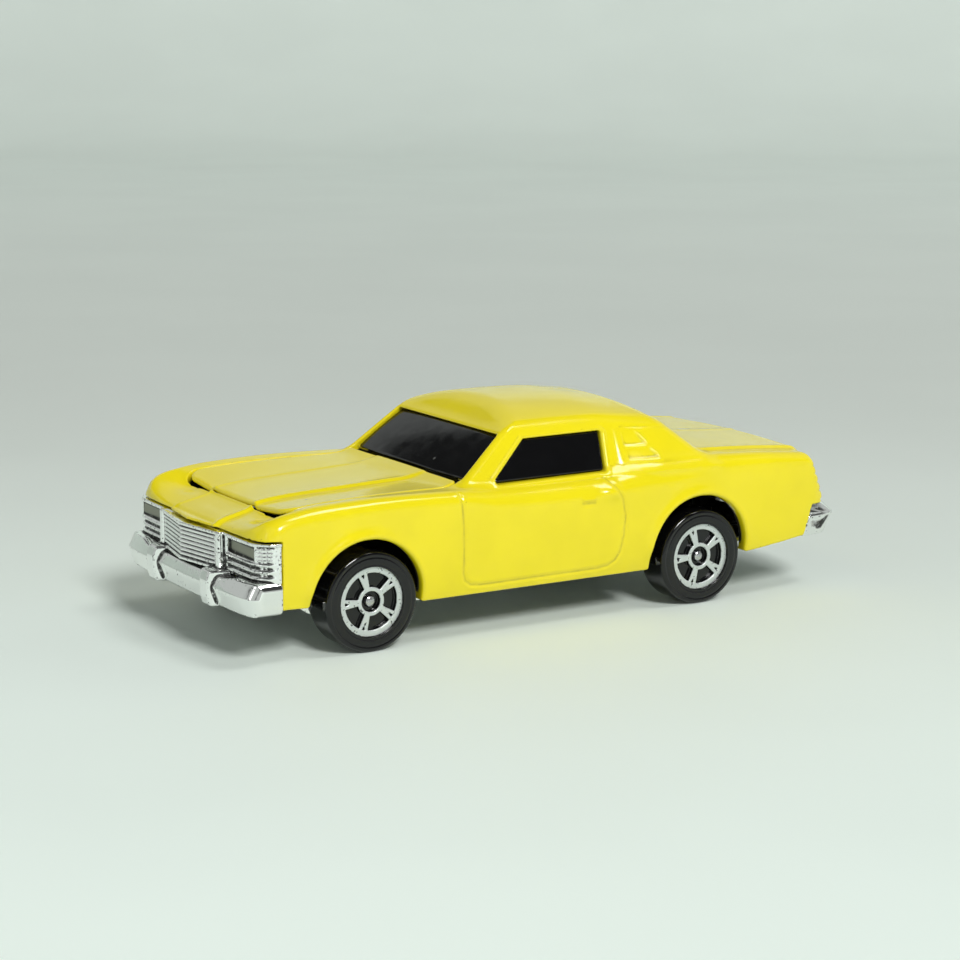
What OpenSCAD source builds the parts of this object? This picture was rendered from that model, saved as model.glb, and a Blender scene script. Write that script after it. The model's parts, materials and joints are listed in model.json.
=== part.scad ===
// Die-cast toy coupe with an opening bonnet and two free-rolling wheel sets.
// X runs forward, Y to the car's left and Z up. The origin lies on the floor under the middle of the car.

/* [Overall] */
// Length over both bumpers
overall_length = 76; // [72:0.5:80]
// Width over the flanks
body_width = 30.4; // [29:0.2:32]
// Height of the roof's crown above the floor
overall_height = 22.8; // [21.8:0.1:24]

/* [Wheels and axles] */
// Distance between the axles, as a share of the length
wheelbase_share = 0.537; // [0.525:0.001:0.55]
// Front axle to the nose of the front bumper, as a share of the length
front_overhang_share = 0.196; // [0.19:0.001:0.204]
// Diameter of a wheel
wheel_diameter = 10.4; // [9.8:0.1:11]
// Width of a wheel
wheel_width = 4.2; // [3.6:0.1:4.6]
// How far a wheel's outer face lies inside the flank
wheel_inset = 0.45; // [0.2:0.05:1]
// Outer diameter of the silver rim ring
rim_diameter = 7; // [6.4:0.1:7.6]
// Width of the rim ring
rim_ring = 0.5; // [0.4:0.05:0.7]
// Outer diameter of the hub ring
hub_diameter = 3.2; // [2.8:0.1:3.6]
// Diameter of the dark well inside the hub ring
hub_well_diameter = 2.2; // [1.9:0.1:2.5]
// Number of spokes
spoke_count = 5; // [3:1:7]
// Width of a spoke at the hub
spoke_root = 1; // [0.8:0.05:1.2]
// Width of a spoke at the rim
spoke_tip = 1.9; // [1.4:0.05:2.2]
// Width of the notch that forks a spoke's outer end
fork_width = 0.8; // [0.5:0.05:1]
// Length of that notch
fork_depth = 0.7; // [0.4:0.05:0.9]
// Depth of the windows between the spokes
spoke_depth = 0.5; // [0.3:0.05:0.8]
// Diameter of an axle
axle_diameter = 1.1; // [0.9:0.05:1.3]
// Running clearance round an axle
axle_clearance = 0.06; // [0.03:0.01:0.1]
// Play between a wheel's boss and its bearing cheek
axle_end_play = 0.2; // [0.1:0.05:0.4]

/* [Lower body] */
// Wall of the casting
wall = 1.2; // [1:0.1:1.5]
// Height of the sill above the floor
sill_height = 4.45; // [4.2:0.05:4.9]
// Height of the lower edge in front of the front wheel
valance_height = 5.5; // [5:0.1:6]
// Height of the lower edge at the tail
tail_height = 6.1; // [5.8:0.1:6.6]
// How far the flank turns in at the sill
sill_tuck = 0.8; // [0.4:0.1:1.2]
// Height of the shoulder along the door, as a share of the overall height
belt_share = 0.662; // [0.65:0.001:0.674]
// How far the front fender's crest stands above that shoulder
fender_rise = 0.5; // [0.2:0.05:0.7]
// How far the haunch beside the rear window stands above that shoulder
haunch_rise = 1.1; // [0.8:0.05:1.3]
// How far the tail's shoulder lies below it
tail_drop = 0.1; // [0:0.05:0.4]
// Radius of the shoulder's edge
shoulder_radius = 1.5; // [1:0.1:2]
// Radius of a wheel arch
arch_radius = 6.4; // [6.1:0.05:6.6]
// How much taller than a half circle the rear arches are
rear_arch_rise = 0.35; // [0:0.05:0.5]
// How far an arch lip stands proud of the flank
arch_lip = 0.2; // [0.1:0.05:0.3]
// Depth of the door line
door_line_depth = 0.15; // [0.1:0.05:0.25]
// Width of the door line
door_line_width = 0.3; // [0.2:0.05:0.4]

/* [Nose and tail] */
// Front bumper's nose to the front edge of the header panel
nose_setback = 2.2; // [1.9:0.1:2.6]
// Front bumper's nose to the flank's front end
flank_setback = 4.8; // [4.4:0.1:5.2]
// Height of the header panel's front edge, as a share of the overall height
header_share = 0.557; // [0.548:0.001:0.566]
// Rear bumper's end to the foot of the tail panel
tail_setback = 2; // [1.7:0.1:2.4]
// How far the tail panel leans forward at its top
tail_rake = 2; // [1.6:0.1:2.4]
// Height of the tail panel's foot
tail_foot_height = 9.5; // [9.1:0.1:9.8]
// How far the rear bumper wraps round the tail
bumper_wrap = 2.8; // [2.5:0.1:3.2]
// Number of ribs across the tail panel
tail_rib_count = 5; // [3:1:7]
// Depth of the grooves between the tail ribs
tail_rib_depth = 0.35; // [0.2:0.05:0.5]

/* [Bonnet] */
// Front bumper's nose to the bonnet's front edge
bonnet_setback = 6.7; // [6.3:0.1:7.1]
// Length of the bonnet, as a share of the car's length
bonnet_share = 0.262; // [0.254:0.001:0.27]
// Width of the bonnet at its front
bonnet_front_width = 23.8; // [22.8:0.2:24.4]
// Width of the bonnet at its rear
bonnet_rear_width = 23; // [22:0.2:23.6]
// Thickness of the bonnet
bonnet_thickness = 1.1; // [0.9:0.05:1.3]
// How far the middle of the bonnet's front edge lies below the door's shoulder
bonnet_front_drop = 0.7; // [0.5:0.05:0.9]
// How far the bonnet's rear lip stands above that shoulder
cowl_rise = 0.95; // [0.75:0.05:1.1]
// Gap along the bonnet's sides and rear
bonnet_gap = 0.2; // [0.15:0.01:0.3]
// Gap at the bonnet's front edge
finger_gap = 0.35; // [0.25:0.05:0.6]
// Radius of the bonnet's front corners
bonnet_corner = 3; // [2:0.1:3.6]
// Radius of the front corners of its opening
opening_corner = 1.4; // [1:0.1:1.8]
// Rise of the plateau along the middle of bonnet and boot
plateau_rise = 0.28; // [0.15:0.01:0.4]
// Diameter of the hinge pins
hinge_pin_diameter = 1.1; // [0.9:0.05:1.2]
// Bonnet's rear edge to the hinge axis
hinge_setback = 1; // [0.9:0.05:1.2]
// Depth of the hinge axis under the bonnet's skin
hinge_depth = 1.6; // [1.5:0.05:1.7]
// Running clearance round a hinge pin
hinge_clearance = 0.08; // [0.05:0.01:0.1]

/* [Cabin] */
// Length of the windscreen seen from above, as a share of the car's length
screen_share = 0.095; // [0.09:0.001:0.1]
// Length of the roof, as a share of the car's length
roof_share = 0.234; // [0.226:0.001:0.24]
// Length of the rear window seen from above, as a share of the car's length
rear_share = 0.091; // [0.085:0.001:0.097]
// Length of the door, as a share of the car's length
door_share = 0.25; // [0.245:0.001:0.255]
// Width of the cabin at its foot
cabin_width = 26; // [25:0.2:26.8]
// Width of the roof
roof_width = 21.6; // [20.8:0.2:22.4]
// Height of the crown over the roof's edges
roof_crown = 1.7; // [1.4:0.1:1.9]
// Radius of the roof's edges
roof_edge_radius = 1; // [0.8:0.05:1.2]
// Wall of the cabin's pillars and roof
pillar_wall = 0.85; // [0.7:0.05:1]
// How far the bars behind the door stand proud
pillar_bar = 0.13; // [0.1:0.01:0.2]
// How far the panes lie behind the pillars' faces
pane_recess = 0.3; // [0.2:0.05:0.45]
// Clearance round the glazing
glazing_clearance = 0.12; // [0.08:0.01:0.2]
// Wall of the glazing
glazing_wall = 0.9; // [0.7:0.05:1.1]

/* [Chassis] */
// Height of the chassis plate's underside
plate_height = 4.1; // [3.9:0.05:4.3]
// Thickness of the chassis plate
plate_thickness = 1.2; // [1:0.05:1.4]
// Clearance between the chassis and the casting
chassis_clearance = 0.15; // [0.1:0.05:0.25]
// Clearance between a wheel and the chassis plate
wheel_clearance = 0.6; // [0.4:0.05:0.8]
// Wall of the chrome front
fascia_wall = 1; // [0.8:0.05:1.2]
// Number of grille bars
grille_bar_count = 8; // [5:1:10]
// Width of the grille
grille_width = 14.4; // [13.6:0.2:15.2]
// Height of the front bumper's lower edge
bumper_height = 5.3; // [5.1:0.1:5.6]
// Depth of the front bumper, from edge to edge
bumper_face = 2.8; // [2.4:0.1:3]
// Diameter of the posts that hold the chassis
post_diameter = 2.2; // [2:0.1:2.4]
// Diameter of the rivet ends below the posts
rivet_diameter = 1.4; // [1.2:0.1:1.6]
// Clearance round the rivets
rivet_clearance = 0.1; // [0.05:0.01:0.15]

/* [Hidden] */
$fn = 48;
paint = [0.96, 0.88, 0.1];
chrome = [0.8, 0.82, 0.82];
black = [0.05, 0.05, 0.06];
steel = [0.62, 0.63, 0.65];
overlap = 0.02;
reach = 60;

// Places along the car
nose_x = overall_length / 2;
tail_x = -overall_length / 2;
front_axle_x = nose_x - front_overhang_share * overall_length;
rear_axle_x = front_axle_x - wheelbase_share * overall_length;
axle_z = wheel_diameter / 2;
header_x = nose_x - nose_setback;
flank_x = nose_x - flank_setback;
stern_x = tail_x + tail_setback;
bonnet_length = bonnet_share * overall_length;
screen_run = screen_share * overall_length;
roof_length = roof_share * overall_length;
rear_run = rear_share * overall_length;
bonnet_front_x = nose_x - bonnet_setback;
cowl_x = bonnet_front_x - bonnet_length;
bonnet_mid_x = (bonnet_front_x + cowl_x) / 2;
roof_front_x = cowl_x - screen_run;
roof_rear_x = roof_front_x - roof_length;
cabin_rear_x = roof_rear_x - rear_run;
door_rear_x = cowl_x - door_share * overall_length;
half_width = body_width / 2;
wheel_face_y = half_width - wheel_inset;
wheel_back_y = wheel_face_y - wheel_width;
cheek_y = wheel_back_y - axle_end_play;
arch_z = axle_z + 0.1;
front_arch_x = front_axle_x + 0.5;
rear_arch_x = rear_axle_x + 0.25;
rear_bumper_x = stern_x + bumper_wrap + chassis_clearance;

// Heights that follow the overall height
belt_height = belt_share * overall_height;
header_height = header_share * overall_height;
fender_height = belt_height + fender_rise;
haunch_height = belt_height + haunch_rise;
tail_crest_height = belt_height - tail_drop;
cowl_height = belt_height + cowl_rise;
bonnet_front_height = belt_height - bonnet_front_drop;

// Lengths of the turned-down ends of the deck
header_run = 2.6;

// Height of the crest, height of the middle, half width and lower edge, each as points along the car
crest_line = [[stern_x, tail_crest_height - 0.7], [stern_x + tail_rake, tail_crest_height - 0.1],
    [stern_x + 4.5, tail_crest_height + 0.35], [cabin_rear_x - 3.2, haunch_height - 0.2],
    [cabin_rear_x + 2, haunch_height], [roof_rear_x + 3.5, haunch_height - 0.3],
    [door_rear_x + 3, belt_height], [roof_front_x, belt_height], [cowl_x, belt_height + 0.25],
    [bonnet_mid_x, fender_height], [bonnet_front_x - 3.8, fender_height - 0.15],
    [bonnet_front_x + 0.7, fender_height - 0.6], [header_x - 1.9, fender_height - 1.15],
    [header_x - 0.6, header_height + 0.85], [header_x, header_height]];
middle_line = [[stern_x, tail_crest_height + 0.3], [stern_x + tail_rake, tail_crest_height + 0.75],
    [stern_x + 7, tail_crest_height + 1.1], [cabin_rear_x, haunch_height + 0.4], [cowl_x, cowl_height],
    [cowl_x + 3, cowl_height - 0.55], [bonnet_mid_x - 1.5, cowl_height - 0.85],
    [bonnet_front_x - 4, bonnet_front_height + 0.45], [bonnet_front_x, bonnet_front_height],
    [header_x - header_run, bonnet_front_height - 0.8], [header_x - 0.5, header_height + 0.4],
    [header_x, header_height + 0.1]];
width_line = [[stern_x, half_width - 1.5], [stern_x + 1.3, half_width - 0.8],
    [stern_x + 3.3, half_width - 0.35], [stern_x + 8, half_width - 0.05], [rear_axle_x, half_width],
    [front_axle_x, half_width],
    [flank_x, half_width - 0.1], [header_x - 1.3, half_width - 0.6], [header_x - 0.5, half_width - 1.4],
    [header_x - 0.12, half_width - 2.2], [header_x, half_width - 2.9]];
lower_line = [[stern_x, tail_height], [stern_x + 3.5, tail_height - 0.1],
    [rear_arch_x - arch_radius - 4.5, sill_height + 1.05], [rear_arch_x - arch_radius, sill_height + 0.55],
    [rear_arch_x + arch_radius, sill_height], [front_arch_x - arch_radius, sill_height],
    [front_arch_x + arch_radius, valance_height - 0.1], [flank_x, valance_height],
    [header_x, valance_height]];
plateau_line = [[stern_x, 11.4], [cabin_rear_x, 11.6], [cowl_x, 5], [bonnet_front_x, 4.7], [header_x, 5]];
plateau_slope = 0.6;

// A smooth curve through a list of points, without overshoot
function segment(curve, x) = let (n = [for (i = [1:len(curve) - 2]) if (curve[i][0] <= x) i]) len(n);
function slope(a, b) = (b[1] - a[1]) / (b[0] - a[0]);
function bend(a, b) = a * b <= 0 ? 0 : 2 * a * b / (a + b);
function tangent(curve, i) = i == 0 ? slope(curve[0], curve[1])
    : i == len(curve) - 1 ? slope(curve[i - 1], curve[i])
    : bend(slope(curve[i - 1], curve[i]), slope(curve[i], curve[i + 1]));
function along(curve, x) = let (
        i = segment(curve, x),
        a = curve[i],
        b = curve[i + 1],
        run = b[0] - a[0],
        t = min(max((x - a[0]) / run, 0), 1))
    (1 + 2 * t) * (1 - t) * (1 - t) * a[1] + t * (1 - t) * (1 - t) * run * tangent(curve, i)
        + t * t * (3 - 2 * t) * b[1] - t * t * (1 - t) * run * tangent(curve, i + 1);

// Height of the deck at a place, between the shoulders
function deck_edge(x) = along(width_line, x) - shoulder_radius - 0.1;
function plateau_edge(x) = along(plateau_line, x);
function plateau(x, y) = plateau_rise * min(max(1 - (abs(y) - plateau_edge(x)) / plateau_slope, 0), 1);
function deck_height(x, y) = let (
        edge = along(crest_line, x) + 0.05,
        middle = along(middle_line, x) - plateau_rise)
    edge + (middle - edge) * sin(90 * max(1 - abs(y) / deck_edge(x), 0)) + plateau(x, y);

// One half of a cross section, from the lower edge up to the middle, moved inward by an inset
function curve_point(a, b, c, t) = a * (1 - t) * (1 - t) + b * 2 * t * (1 - t) + c * t * t;
function flank_half(x, inset) = let (
        w = along(width_line, x) - inset,
        crest = along(crest_line, x) - inset,
        low = along(lower_line, x) - max(inset, 0) * 2)
    concat([[w - sill_tuck, low], [w - sill_tuck * 0.4, low + 1.5], [w - 0.1, 7.8], [w, 9.8]],
        [for (i = [0:4]) curve_point([w - 0.1, crest - shoulder_radius], [w - 0.1, crest + 0.05],
            [w - 0.1 - shoulder_radius, crest + 0.05], i / 4)]);
function deck_half(x, inset) = let (
        foot = plateau_edge(x) + plateau_slope,
        outer = deck_edge(x) - inset)
    [for (y = [(outer + foot) / 2, foot, plateau_edge(x), plateau_edge(x) / 2, 0])
        [y, deck_height(x, y) - inset]];
function half_section(x, inset) = concat(flank_half(x, inset), deck_half(x, inset));
function section(x, inset) = let (half = half_section(x, inset), n = len(half))
    concat([for (p = half) [x, -p[0], p[1]]], [for (i = [n - 2:-1:0]) [x, half[i][0], half[i][1]]]);

// A closed skin over rings of points, ring by ring
function skin_faces(rings, n) = concat(
    [for (i = [0:rings - 2], j = [0:n - 1]) [i * n + j, i * n + (j + 1) % n, (i + 1) * n + j]],
    [for (i = [0:rings - 2], j = [0:n - 1])
        [i * n + (j + 1) % n, (i + 1) * n + (j + 1) % n, (i + 1) * n + j]],
    [[for (j = [n - 1:-1:0]) j]], [[for (j = [0:n - 1]) (rings - 1) * n + j]]);
module skin(rings) polyhedron([for (ring = rings, p = ring) p], skin_faces(len(rings), len(rings[0])));

// The lower body as one loft from the tail panel to the header, and a prism with the section at one place
tail_run = 3.4;
function stations(count) = concat([for (d = [0, 0.4, 1.2, 2.2]) stern_x + d],
    [for (i = [0:count]) stern_x + tail_run + i * (header_x - header_run - stern_x - tail_run) / count],
    [for (d = [2, 1.4, 0.9, 0.5, 0.2, 0]) header_x - d]);
module lower_form() skin([for (x = stations(17)) section(x, 0)]);
cavity_rear_x = stern_x + tail_rake + wall;
cavity_run = header_x - wall - cavity_rear_x;
module lower_cavity() skin([for (i = [0:11]) section(cavity_rear_x + cavity_run * i / 11, wall)]);
module flank_prism(x, inset) rotate([90, 0, 90]) linear_extrude(reach * 2, center = true)
    polygon([for (p = section(x, inset)) [p[1], p[2]]]);

// The cabin as one hull from its foot to the roof, with slanted faces
cabin_foot_z = belt_height + 0.2;
roof_edge_z = overall_height - roof_crown;
cabin_rise = roof_edge_z - cabin_foot_z;
side_lean = (cabin_width - roof_width) / 2;
function slant(run) = sqrt(1 + pow(run / cabin_rise, 2));
function foot_shift(run, inset) = slant(run) * inset;
function roof_shift(run, inset) = (slant(run) - run / cabin_rise) * inset;
roof_stations = [[0, 0, 0.7, 0], [0.12, 0.2, 0.25, 0.05], [0.35, 0, 0, 0.1], [0.6, 0.05, 0.1, 0.1],
    [0.85, 0.25, 0.35, 0.15], [1, 0.5, 0.9, 0.3]];
roof_band = 0.6;
module roof_section(half, edge, crown) offset(r = roof_edge_radius, $fn = 20)
    polygon(concat([for (i = [-6:6]) [(half - roof_edge_radius) * i / 6,
        edge - roof_edge_radius + crown * (1 - pow(abs(i / 6), 2.4))]], [[0, edge - 2 * roof_edge_radius]]));
module cabin_form(inset) hull() {
    translate([0, 0, cabin_foot_z]) linear_extrude(overlap) cabin_foot(inset);
    front = roof_front_x - roof_shift(screen_run, inset) - roof_band;
    rear = roof_rear_x + roof_shift(rear_run, inset);
    for (s = roof_stations) translate([front - s[0] * (front - rear), 0, 0]) rotate([90, 0, 90])
        linear_extrude(roof_band) roof_section(roof_width / 2 - s[3] - roof_shift(side_lean, inset),
            roof_edge_z - inset - s[1] * 0.9, max(roof_crown - s[2], 0.3));
}
module cabin_foot(inset) {
    front = cowl_x - foot_shift(screen_run, inset);
    rear = cabin_rear_x + foot_shift(rear_run, inset);
    half = cabin_width / 2 - foot_shift(side_lean, inset);
    polygon([[front, -half + 0.9], [front - 0.5, -half + 0.4], [front - 4, -half], [rear + 1.6, -half],
        [rear + 0.8, -half + 0.4], [rear + 0.4, -half + 1.2], [rear, 0], [rear + 0.4, half - 1.2],
        [rear + 0.8, half - 0.4], [rear + 1.6, half], [front - 4, half], [front - 0.5, half - 0.4],
        [front, half - 0.9]]);
}

// Outlines of the windows, seen from the side, from the front and from above
pillar_foot_z = belt_height + 0.15;
window_top_z = roof_edge_z - 1.4;
window_front_x = cowl_x - 3.5;
window_rear_x = door_rear_x + 1.4;
screen_half = cabin_width / 2 - 1.45;
screen_foot_z = cowl_height - 0.4;
screen_top_z = roof_edge_z - 1.1;
rear_window_half = cabin_width / 2 - 4;
module side_window(gap) offset(r = 0.4 - gap, $fn = 20) offset(delta = -0.4)
    polygon([[window_front_x, pillar_foot_z], [roof_front_x - 1.2, window_top_z],
        [window_rear_x, window_top_z], [window_rear_x + 0.05, pillar_foot_z + 0.8],
        [window_rear_x + 0.9, pillar_foot_z]]);
module screen_window(gap) offset(r = 0.4 - gap, $fn = 20) offset(delta = -0.4)
    polygon([[-screen_half, screen_foot_z], [screen_half, screen_foot_z], [screen_half - 1.7, screen_top_z],
        [1.7 - screen_half, screen_top_z]]);
module screen_prism(gap) translate([roof_front_x - 0.45, 0, 0]) rotate([90, 0, 90]) linear_extrude(reach)
    screen_window(gap);
module rear_window(gap) offset(r = 0.5 - gap, $fn = 20) offset(delta = -0.5)
    polygon([[cabin_rear_x + 1.4, -rear_window_half], [roof_rear_x - 0.5, 0.8 - rear_window_half],
        [roof_rear_x - 0.5, rear_window_half - 0.8], [cabin_rear_x + 1.4, rear_window_half]]);
module window_prisms(gap) {
    rotate([90, 0, 0]) linear_extrude(reach, center = true) side_window(gap);
    screen_prism(gap);
    translate([0, 0, haunch_height + 0.35]) linear_extrude(reach) rear_window(gap);
}

// Plan of the bonnet's opening
module bonnet_opening(gap, front_gap) hull() {
    for (side = [-1, 1]) {
        translate([bonnet_front_x + front_gap - opening_corner,
            side * (bonnet_front_width / 2 + gap - opening_corner)]) circle(opening_corner, $fn = 24);
        translate([cowl_x - gap + 0.6, side * (bonnet_rear_width / 2 + gap - 0.6)]) circle(0.6, $fn = 16);
    }
}

// Hinge of the bonnet
hinge_x = cowl_x + hinge_setback;
hinge_z = deck_height(hinge_x, 0) - hinge_depth;
hinge_r = hinge_pin_diameter / 2;
lug_inner_y = bonnet_rear_width / 2 + bonnet_gap + 0.08;
lug_width = 1.1;
pin_end_y = lug_inner_y + lug_width - 0.1;
module across(x, z, r, length) translate([x, 0, z]) rotate([90, 0, 0])
    cylinder(r = r, h = length, center = true);
lug_foot_z = hinge_z - hinge_r - 0.25;
swing_r = sqrt(pow(hinge_setback, 2) + pow(hinge_depth, 2)) + bonnet_gap;
lug_mid_y = lug_inner_y + lug_width / 2;
module hinge_lug(side) translate([hinge_x - 1.3, side * lug_mid_y - lug_width / 2, lug_foot_z])
    cube([2.6, lug_width, deck_height(hinge_x, lug_inner_y) - 0.5 - lug_foot_z]);
module hinge_slots() for (side = [-1, 1]) hull() for (drop = [0, 4])
    translate([hinge_x, side * lug_mid_y, hinge_z - drop]) rotate([90, 0, 0])
        cylinder(r = hinge_r + hinge_clearance, h = lug_width + 0.3, center = true, $fn = 24);
module cowl_clearance() {
    half = bonnet_rear_width / 2 + 0.75 * bonnet_gap;
    translate([hinge_x - swing_r, -half, plate_top_z])
        cube([swing_r + hinge_setback, 2 * half, screen_foot_z + 0.35 - plate_top_z]);
    gap = glazing_clearance;
    translate([firewall_x - glazing_wall - gap, -firewall_half - gap, plate_top_z])
        cube([glazing_wall + 2, 2 * (firewall_half + gap), cowl_height - plate_top_z]);
}

// Posts that carry the chassis, with a spun rivet end
plate_top_z = plate_height + plate_thickness;
nose_plate_z = valance_height;
tail_plate_z = tail_height - 0.2;
rear_post_x = (rear_arch_x - arch_radius + rear_bumper_x) / 2;
post_places = [[flank_x + 0.5, nose_plate_z], [rear_post_x, tail_plate_z]];
rivet_head_r = rivet_diameter / 2 + 0.5;
rivet_head_h = 0.5;
module post(place) translate([place[0], 0, place[1]]) {
    top = deck_height(place[0], 0) - 0.4;
    translate([0, 0, plate_thickness])
        cylinder(d = post_diameter, h = top - place[1] - plate_thickness, $fn = 24);
    cylinder(d = rivet_diameter, h = plate_thickness + overlap, $fn = 24);
    cylinder(r = rivet_head_r, h = rivet_head_h, $fn = 24);
}

// Door line, arch lips, door handle, tail ribs and the louvred panel behind the side window
door_foot_z = sill_height + 1.1;
module door_outline() offset(r = 0.8, $fn = 20) offset(delta = -0.8) polygon([[cowl_x + 0.9, door_foot_z],
    [cowl_x + 1.3, belt_height - 3.5], [cowl_x + 0.9, belt_height + 3], [door_rear_x + 3.4, belt_height + 3],
    [door_rear_x + 2.1, belt_height + 0.2], [door_rear_x + 0.9, belt_height - 1.3],
    [door_rear_x + 0.2, belt_height - 3.1], [door_rear_x + 0.1, belt_height - 6.1],
    [door_rear_x + 0.7, door_foot_z + 0.7], [door_rear_x + 1.8, door_foot_z]]);
module door_line() difference() {
    rotate([90, 0, 0]) linear_extrude(reach, center = true) difference() {
        door_outline();
        offset(delta = -door_line_width) door_outline();
    }
    flank_prism(roof_front_x, door_line_depth);
    translate([0, 0, belt_height + reach / 2]) cube(reach, center = true);
}
module arch_outline(grow) {
    translate([front_arch_x, arch_z]) circle(arch_radius + grow);
    translate([rear_arch_x, arch_z]) scale([1, 1 + rear_arch_rise / arch_radius]) circle(arch_radius + grow);
}
module arch_lips() intersection() {
    rotate([90, 0, 0]) linear_extrude(reach, center = true) difference() {
        arch_outline(0.7);
        translate([-reach, axle_z + 0.7 - 2 * reach]) square(2 * reach);
    }
    flank_prism(front_axle_x, -arch_lip);
}
module door_handle(side) hull() for (x = [door_rear_x + 2.6, door_rear_x + 4.4])
    translate([x, side * (half_width - 0.25), belt_height - 1.9]) sphere(0.38, $fn = 8);
module tail_cut() rotate([90, 0, 0]) linear_extrude(reach, center = true) {
    rise = tail_crest_height - 0.4 - tail_foot_height;
    rib = rise / tail_rib_count;
    polygon([[stern_x - 0.3, tail_foot_height - 1], [stern_x + tail_rake, tail_foot_height + rise],
        [stern_x + tail_rake - 0.3, tail_crest_height + 3], [tail_x - 1, tail_crest_height + 3],
        [tail_x - 1, tail_foot_height - 1]]);
    for (i = [1:tail_rib_count])
        translate([stern_x + tail_rake * i / tail_rib_count - 0.1, tail_foot_height + i * rib])
            square([2 * tail_rib_depth, 0.3], center = true);
}
louvre_front_x = door_rear_x - 1.5;
louvre_rows = [[roof_edge_z - 1.5, roof_edge_z - 3.2], [roof_edge_z - 3.5, roof_edge_z - 4.5]];
function louvre_rear_x(z) = louvre_front_x - 1.85 - 0.44 * (roof_edge_z - 1.5 - z);
module louvre_panel() rotate([90, 0, 0]) linear_extrude(reach, center = true) for (row = louvre_rows)
    polygon([[louvre_front_x, row[0]], [louvre_rear_x(row[0]), row[0]], [louvre_rear_x(row[1]), row[1]],
        [louvre_front_x, row[1]]]);
bar_width = 0.36;
bar_pitch = 1.44;
bar_rise = 1;
module pillar_bars() intersection() {
    cabin_form(-pillar_bar);
    for (i = [0, 1])
        translate([door_rear_x + bar_pitch / 2 - 0.5 - i * bar_pitch, -reach / 2, belt_height + bar_rise])
            cube([bar_width, reach, window_top_z - belt_height - bar_rise - 0.1]);
}
module louvres() difference() {
    louvre_panel();
    cabin_form(0.25);
}

// The casting: a hollow shell with its openings, lugs and posts
module body_shell() color(paint) difference() {
    union() {
        difference() {
            union() {
                lower_form();
                cabin_form(0);
                arch_lips();
                pillar_bars();
                for (side = [-1, 1]) door_handle(side);
            }
            lower_cavity();
            cabin_form(pillar_wall);
            window_prisms(0);
            louvres();
            door_line();
            translate([0, 0, plate_top_z]) linear_extrude(reach) bonnet_opening(bonnet_gap, finger_gap);
            translate([flank_x, -reach / 2, -reach + header_height - chassis_clearance]) cube(reach);
        }
        for (side = [-1, 1]) hinge_lug(side);
        for (place = post_places) post(place);
    }
    for (side = [-1, 1]) translate([0, side * half_width, 0]) rotate([90, 0, 0])
        linear_extrude(2 * (half_width - cheek_y), center = true) arch_outline(0);
    hinge_slots();
    cowl_clearance();
    translate([rear_bumper_x - reach, -reach / 2, -reach + tail_foot_height]) cube(reach);
    translate([rear_bumper_x - 1, -plate_half - chassis_clearance, 0])
        cube([2, 2 * (plate_half + chassis_clearance), tail_plate_z + plate_thickness + chassis_clearance]);
    tail_cut();
}

// The bonnet: a curved panel with a rear ear and a hinge pin on each side
bonnet_rows = 14;
bonnet_columns = [-1, -0.86, -0.7, -0.5, -0.42, -0.2, 0, 0.2, 0.42, 0.5, 0.7, 0.86, 1];
function bonnet_half(x) = let (taper = (bonnet_front_width - bonnet_rear_width) / bonnet_length)
    (bonnet_rear_width + taper * (x - cowl_x)) / 2;
lip_slope = 0.5;
function bonnet_top(x, y) = max(deck_height(x, y), cowl_height - 0.2 - lip_slope * (x - cowl_x));
function bonnet_ring(x, half) = concat([for (c = bonnet_columns) [x, c * half, bonnet_top(x, c * half)]],
    [for (i = [len(bonnet_columns) - 1:-1:0]) let (y = bonnet_columns[i] * half)
        [x, y, deck_height(x, y) - bonnet_thickness]]);
function corner_cut(d) = bonnet_corner - sqrt(max(pow(bonnet_corner, 2) - pow(bonnet_corner - d, 2), 0));
bonnet_stations = concat(
    [for (i = [0:bonnet_rows]) cowl_x + i * (bonnet_length - bonnet_corner) / bonnet_rows],
    [for (d = [0.7, 0.45, 0.25, 0.1, 0.02]) bonnet_front_x - d * bonnet_corner]);
module bonnet() color(paint) {
    skin([for (x = bonnet_stations) bonnet_ring(x,
        bonnet_half(x) - corner_cut(min(bonnet_front_x - x, bonnet_corner)))]);
    for (side = [-1, 1]) {
        translate([hinge_x, side * (bonnet_rear_width / 2 - 0.75), hinge_z]) rotate([90, 0, 0])
            cylinder(r = hinge_r + 0.25, h = 1.2, center = true);
        translate([hinge_x, side * (pin_end_y - 0.9), hinge_z]) rotate([90, 0, 0])
            cylinder(r = hinge_r, h = 1.8, center = true);
    }
}

// The glazing: a black shell inside the cabin, with panes that fill the windows and a firewall
glazing_inset = pillar_wall + glazing_clearance;
firewall_x = cowl_x - 1.2;
firewall_z = 9;
firewall_half = 9.6;
keeper_top_z = lug_foot_z - glazing_clearance;
keeper_height = 0.9;
module glazing_solid(inset) intersection() {
    cabin_form(inset);
    translate([firewall_x - reach, -reach / 2, cabin_foot_z + 0.2]) cube(reach);
}
module panes() for (i = [0:2]) intersection() {
    cabin_form(pane_recess);
    window_prism(i, glazing_clearance);
    translate([cowl_x - 0.75 - reach, -reach / 2, 0]) cube(reach);
}
module window_prism(i, gap) {
    if (i == 0) rotate([90, 0, 0]) linear_extrude(reach, center = true) side_window(gap);
    if (i == 1) screen_prism(gap);
    if (i == 2) translate([0, 0, haunch_height + 0.45 + gap]) linear_extrude(reach) rear_window(gap);
}
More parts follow.
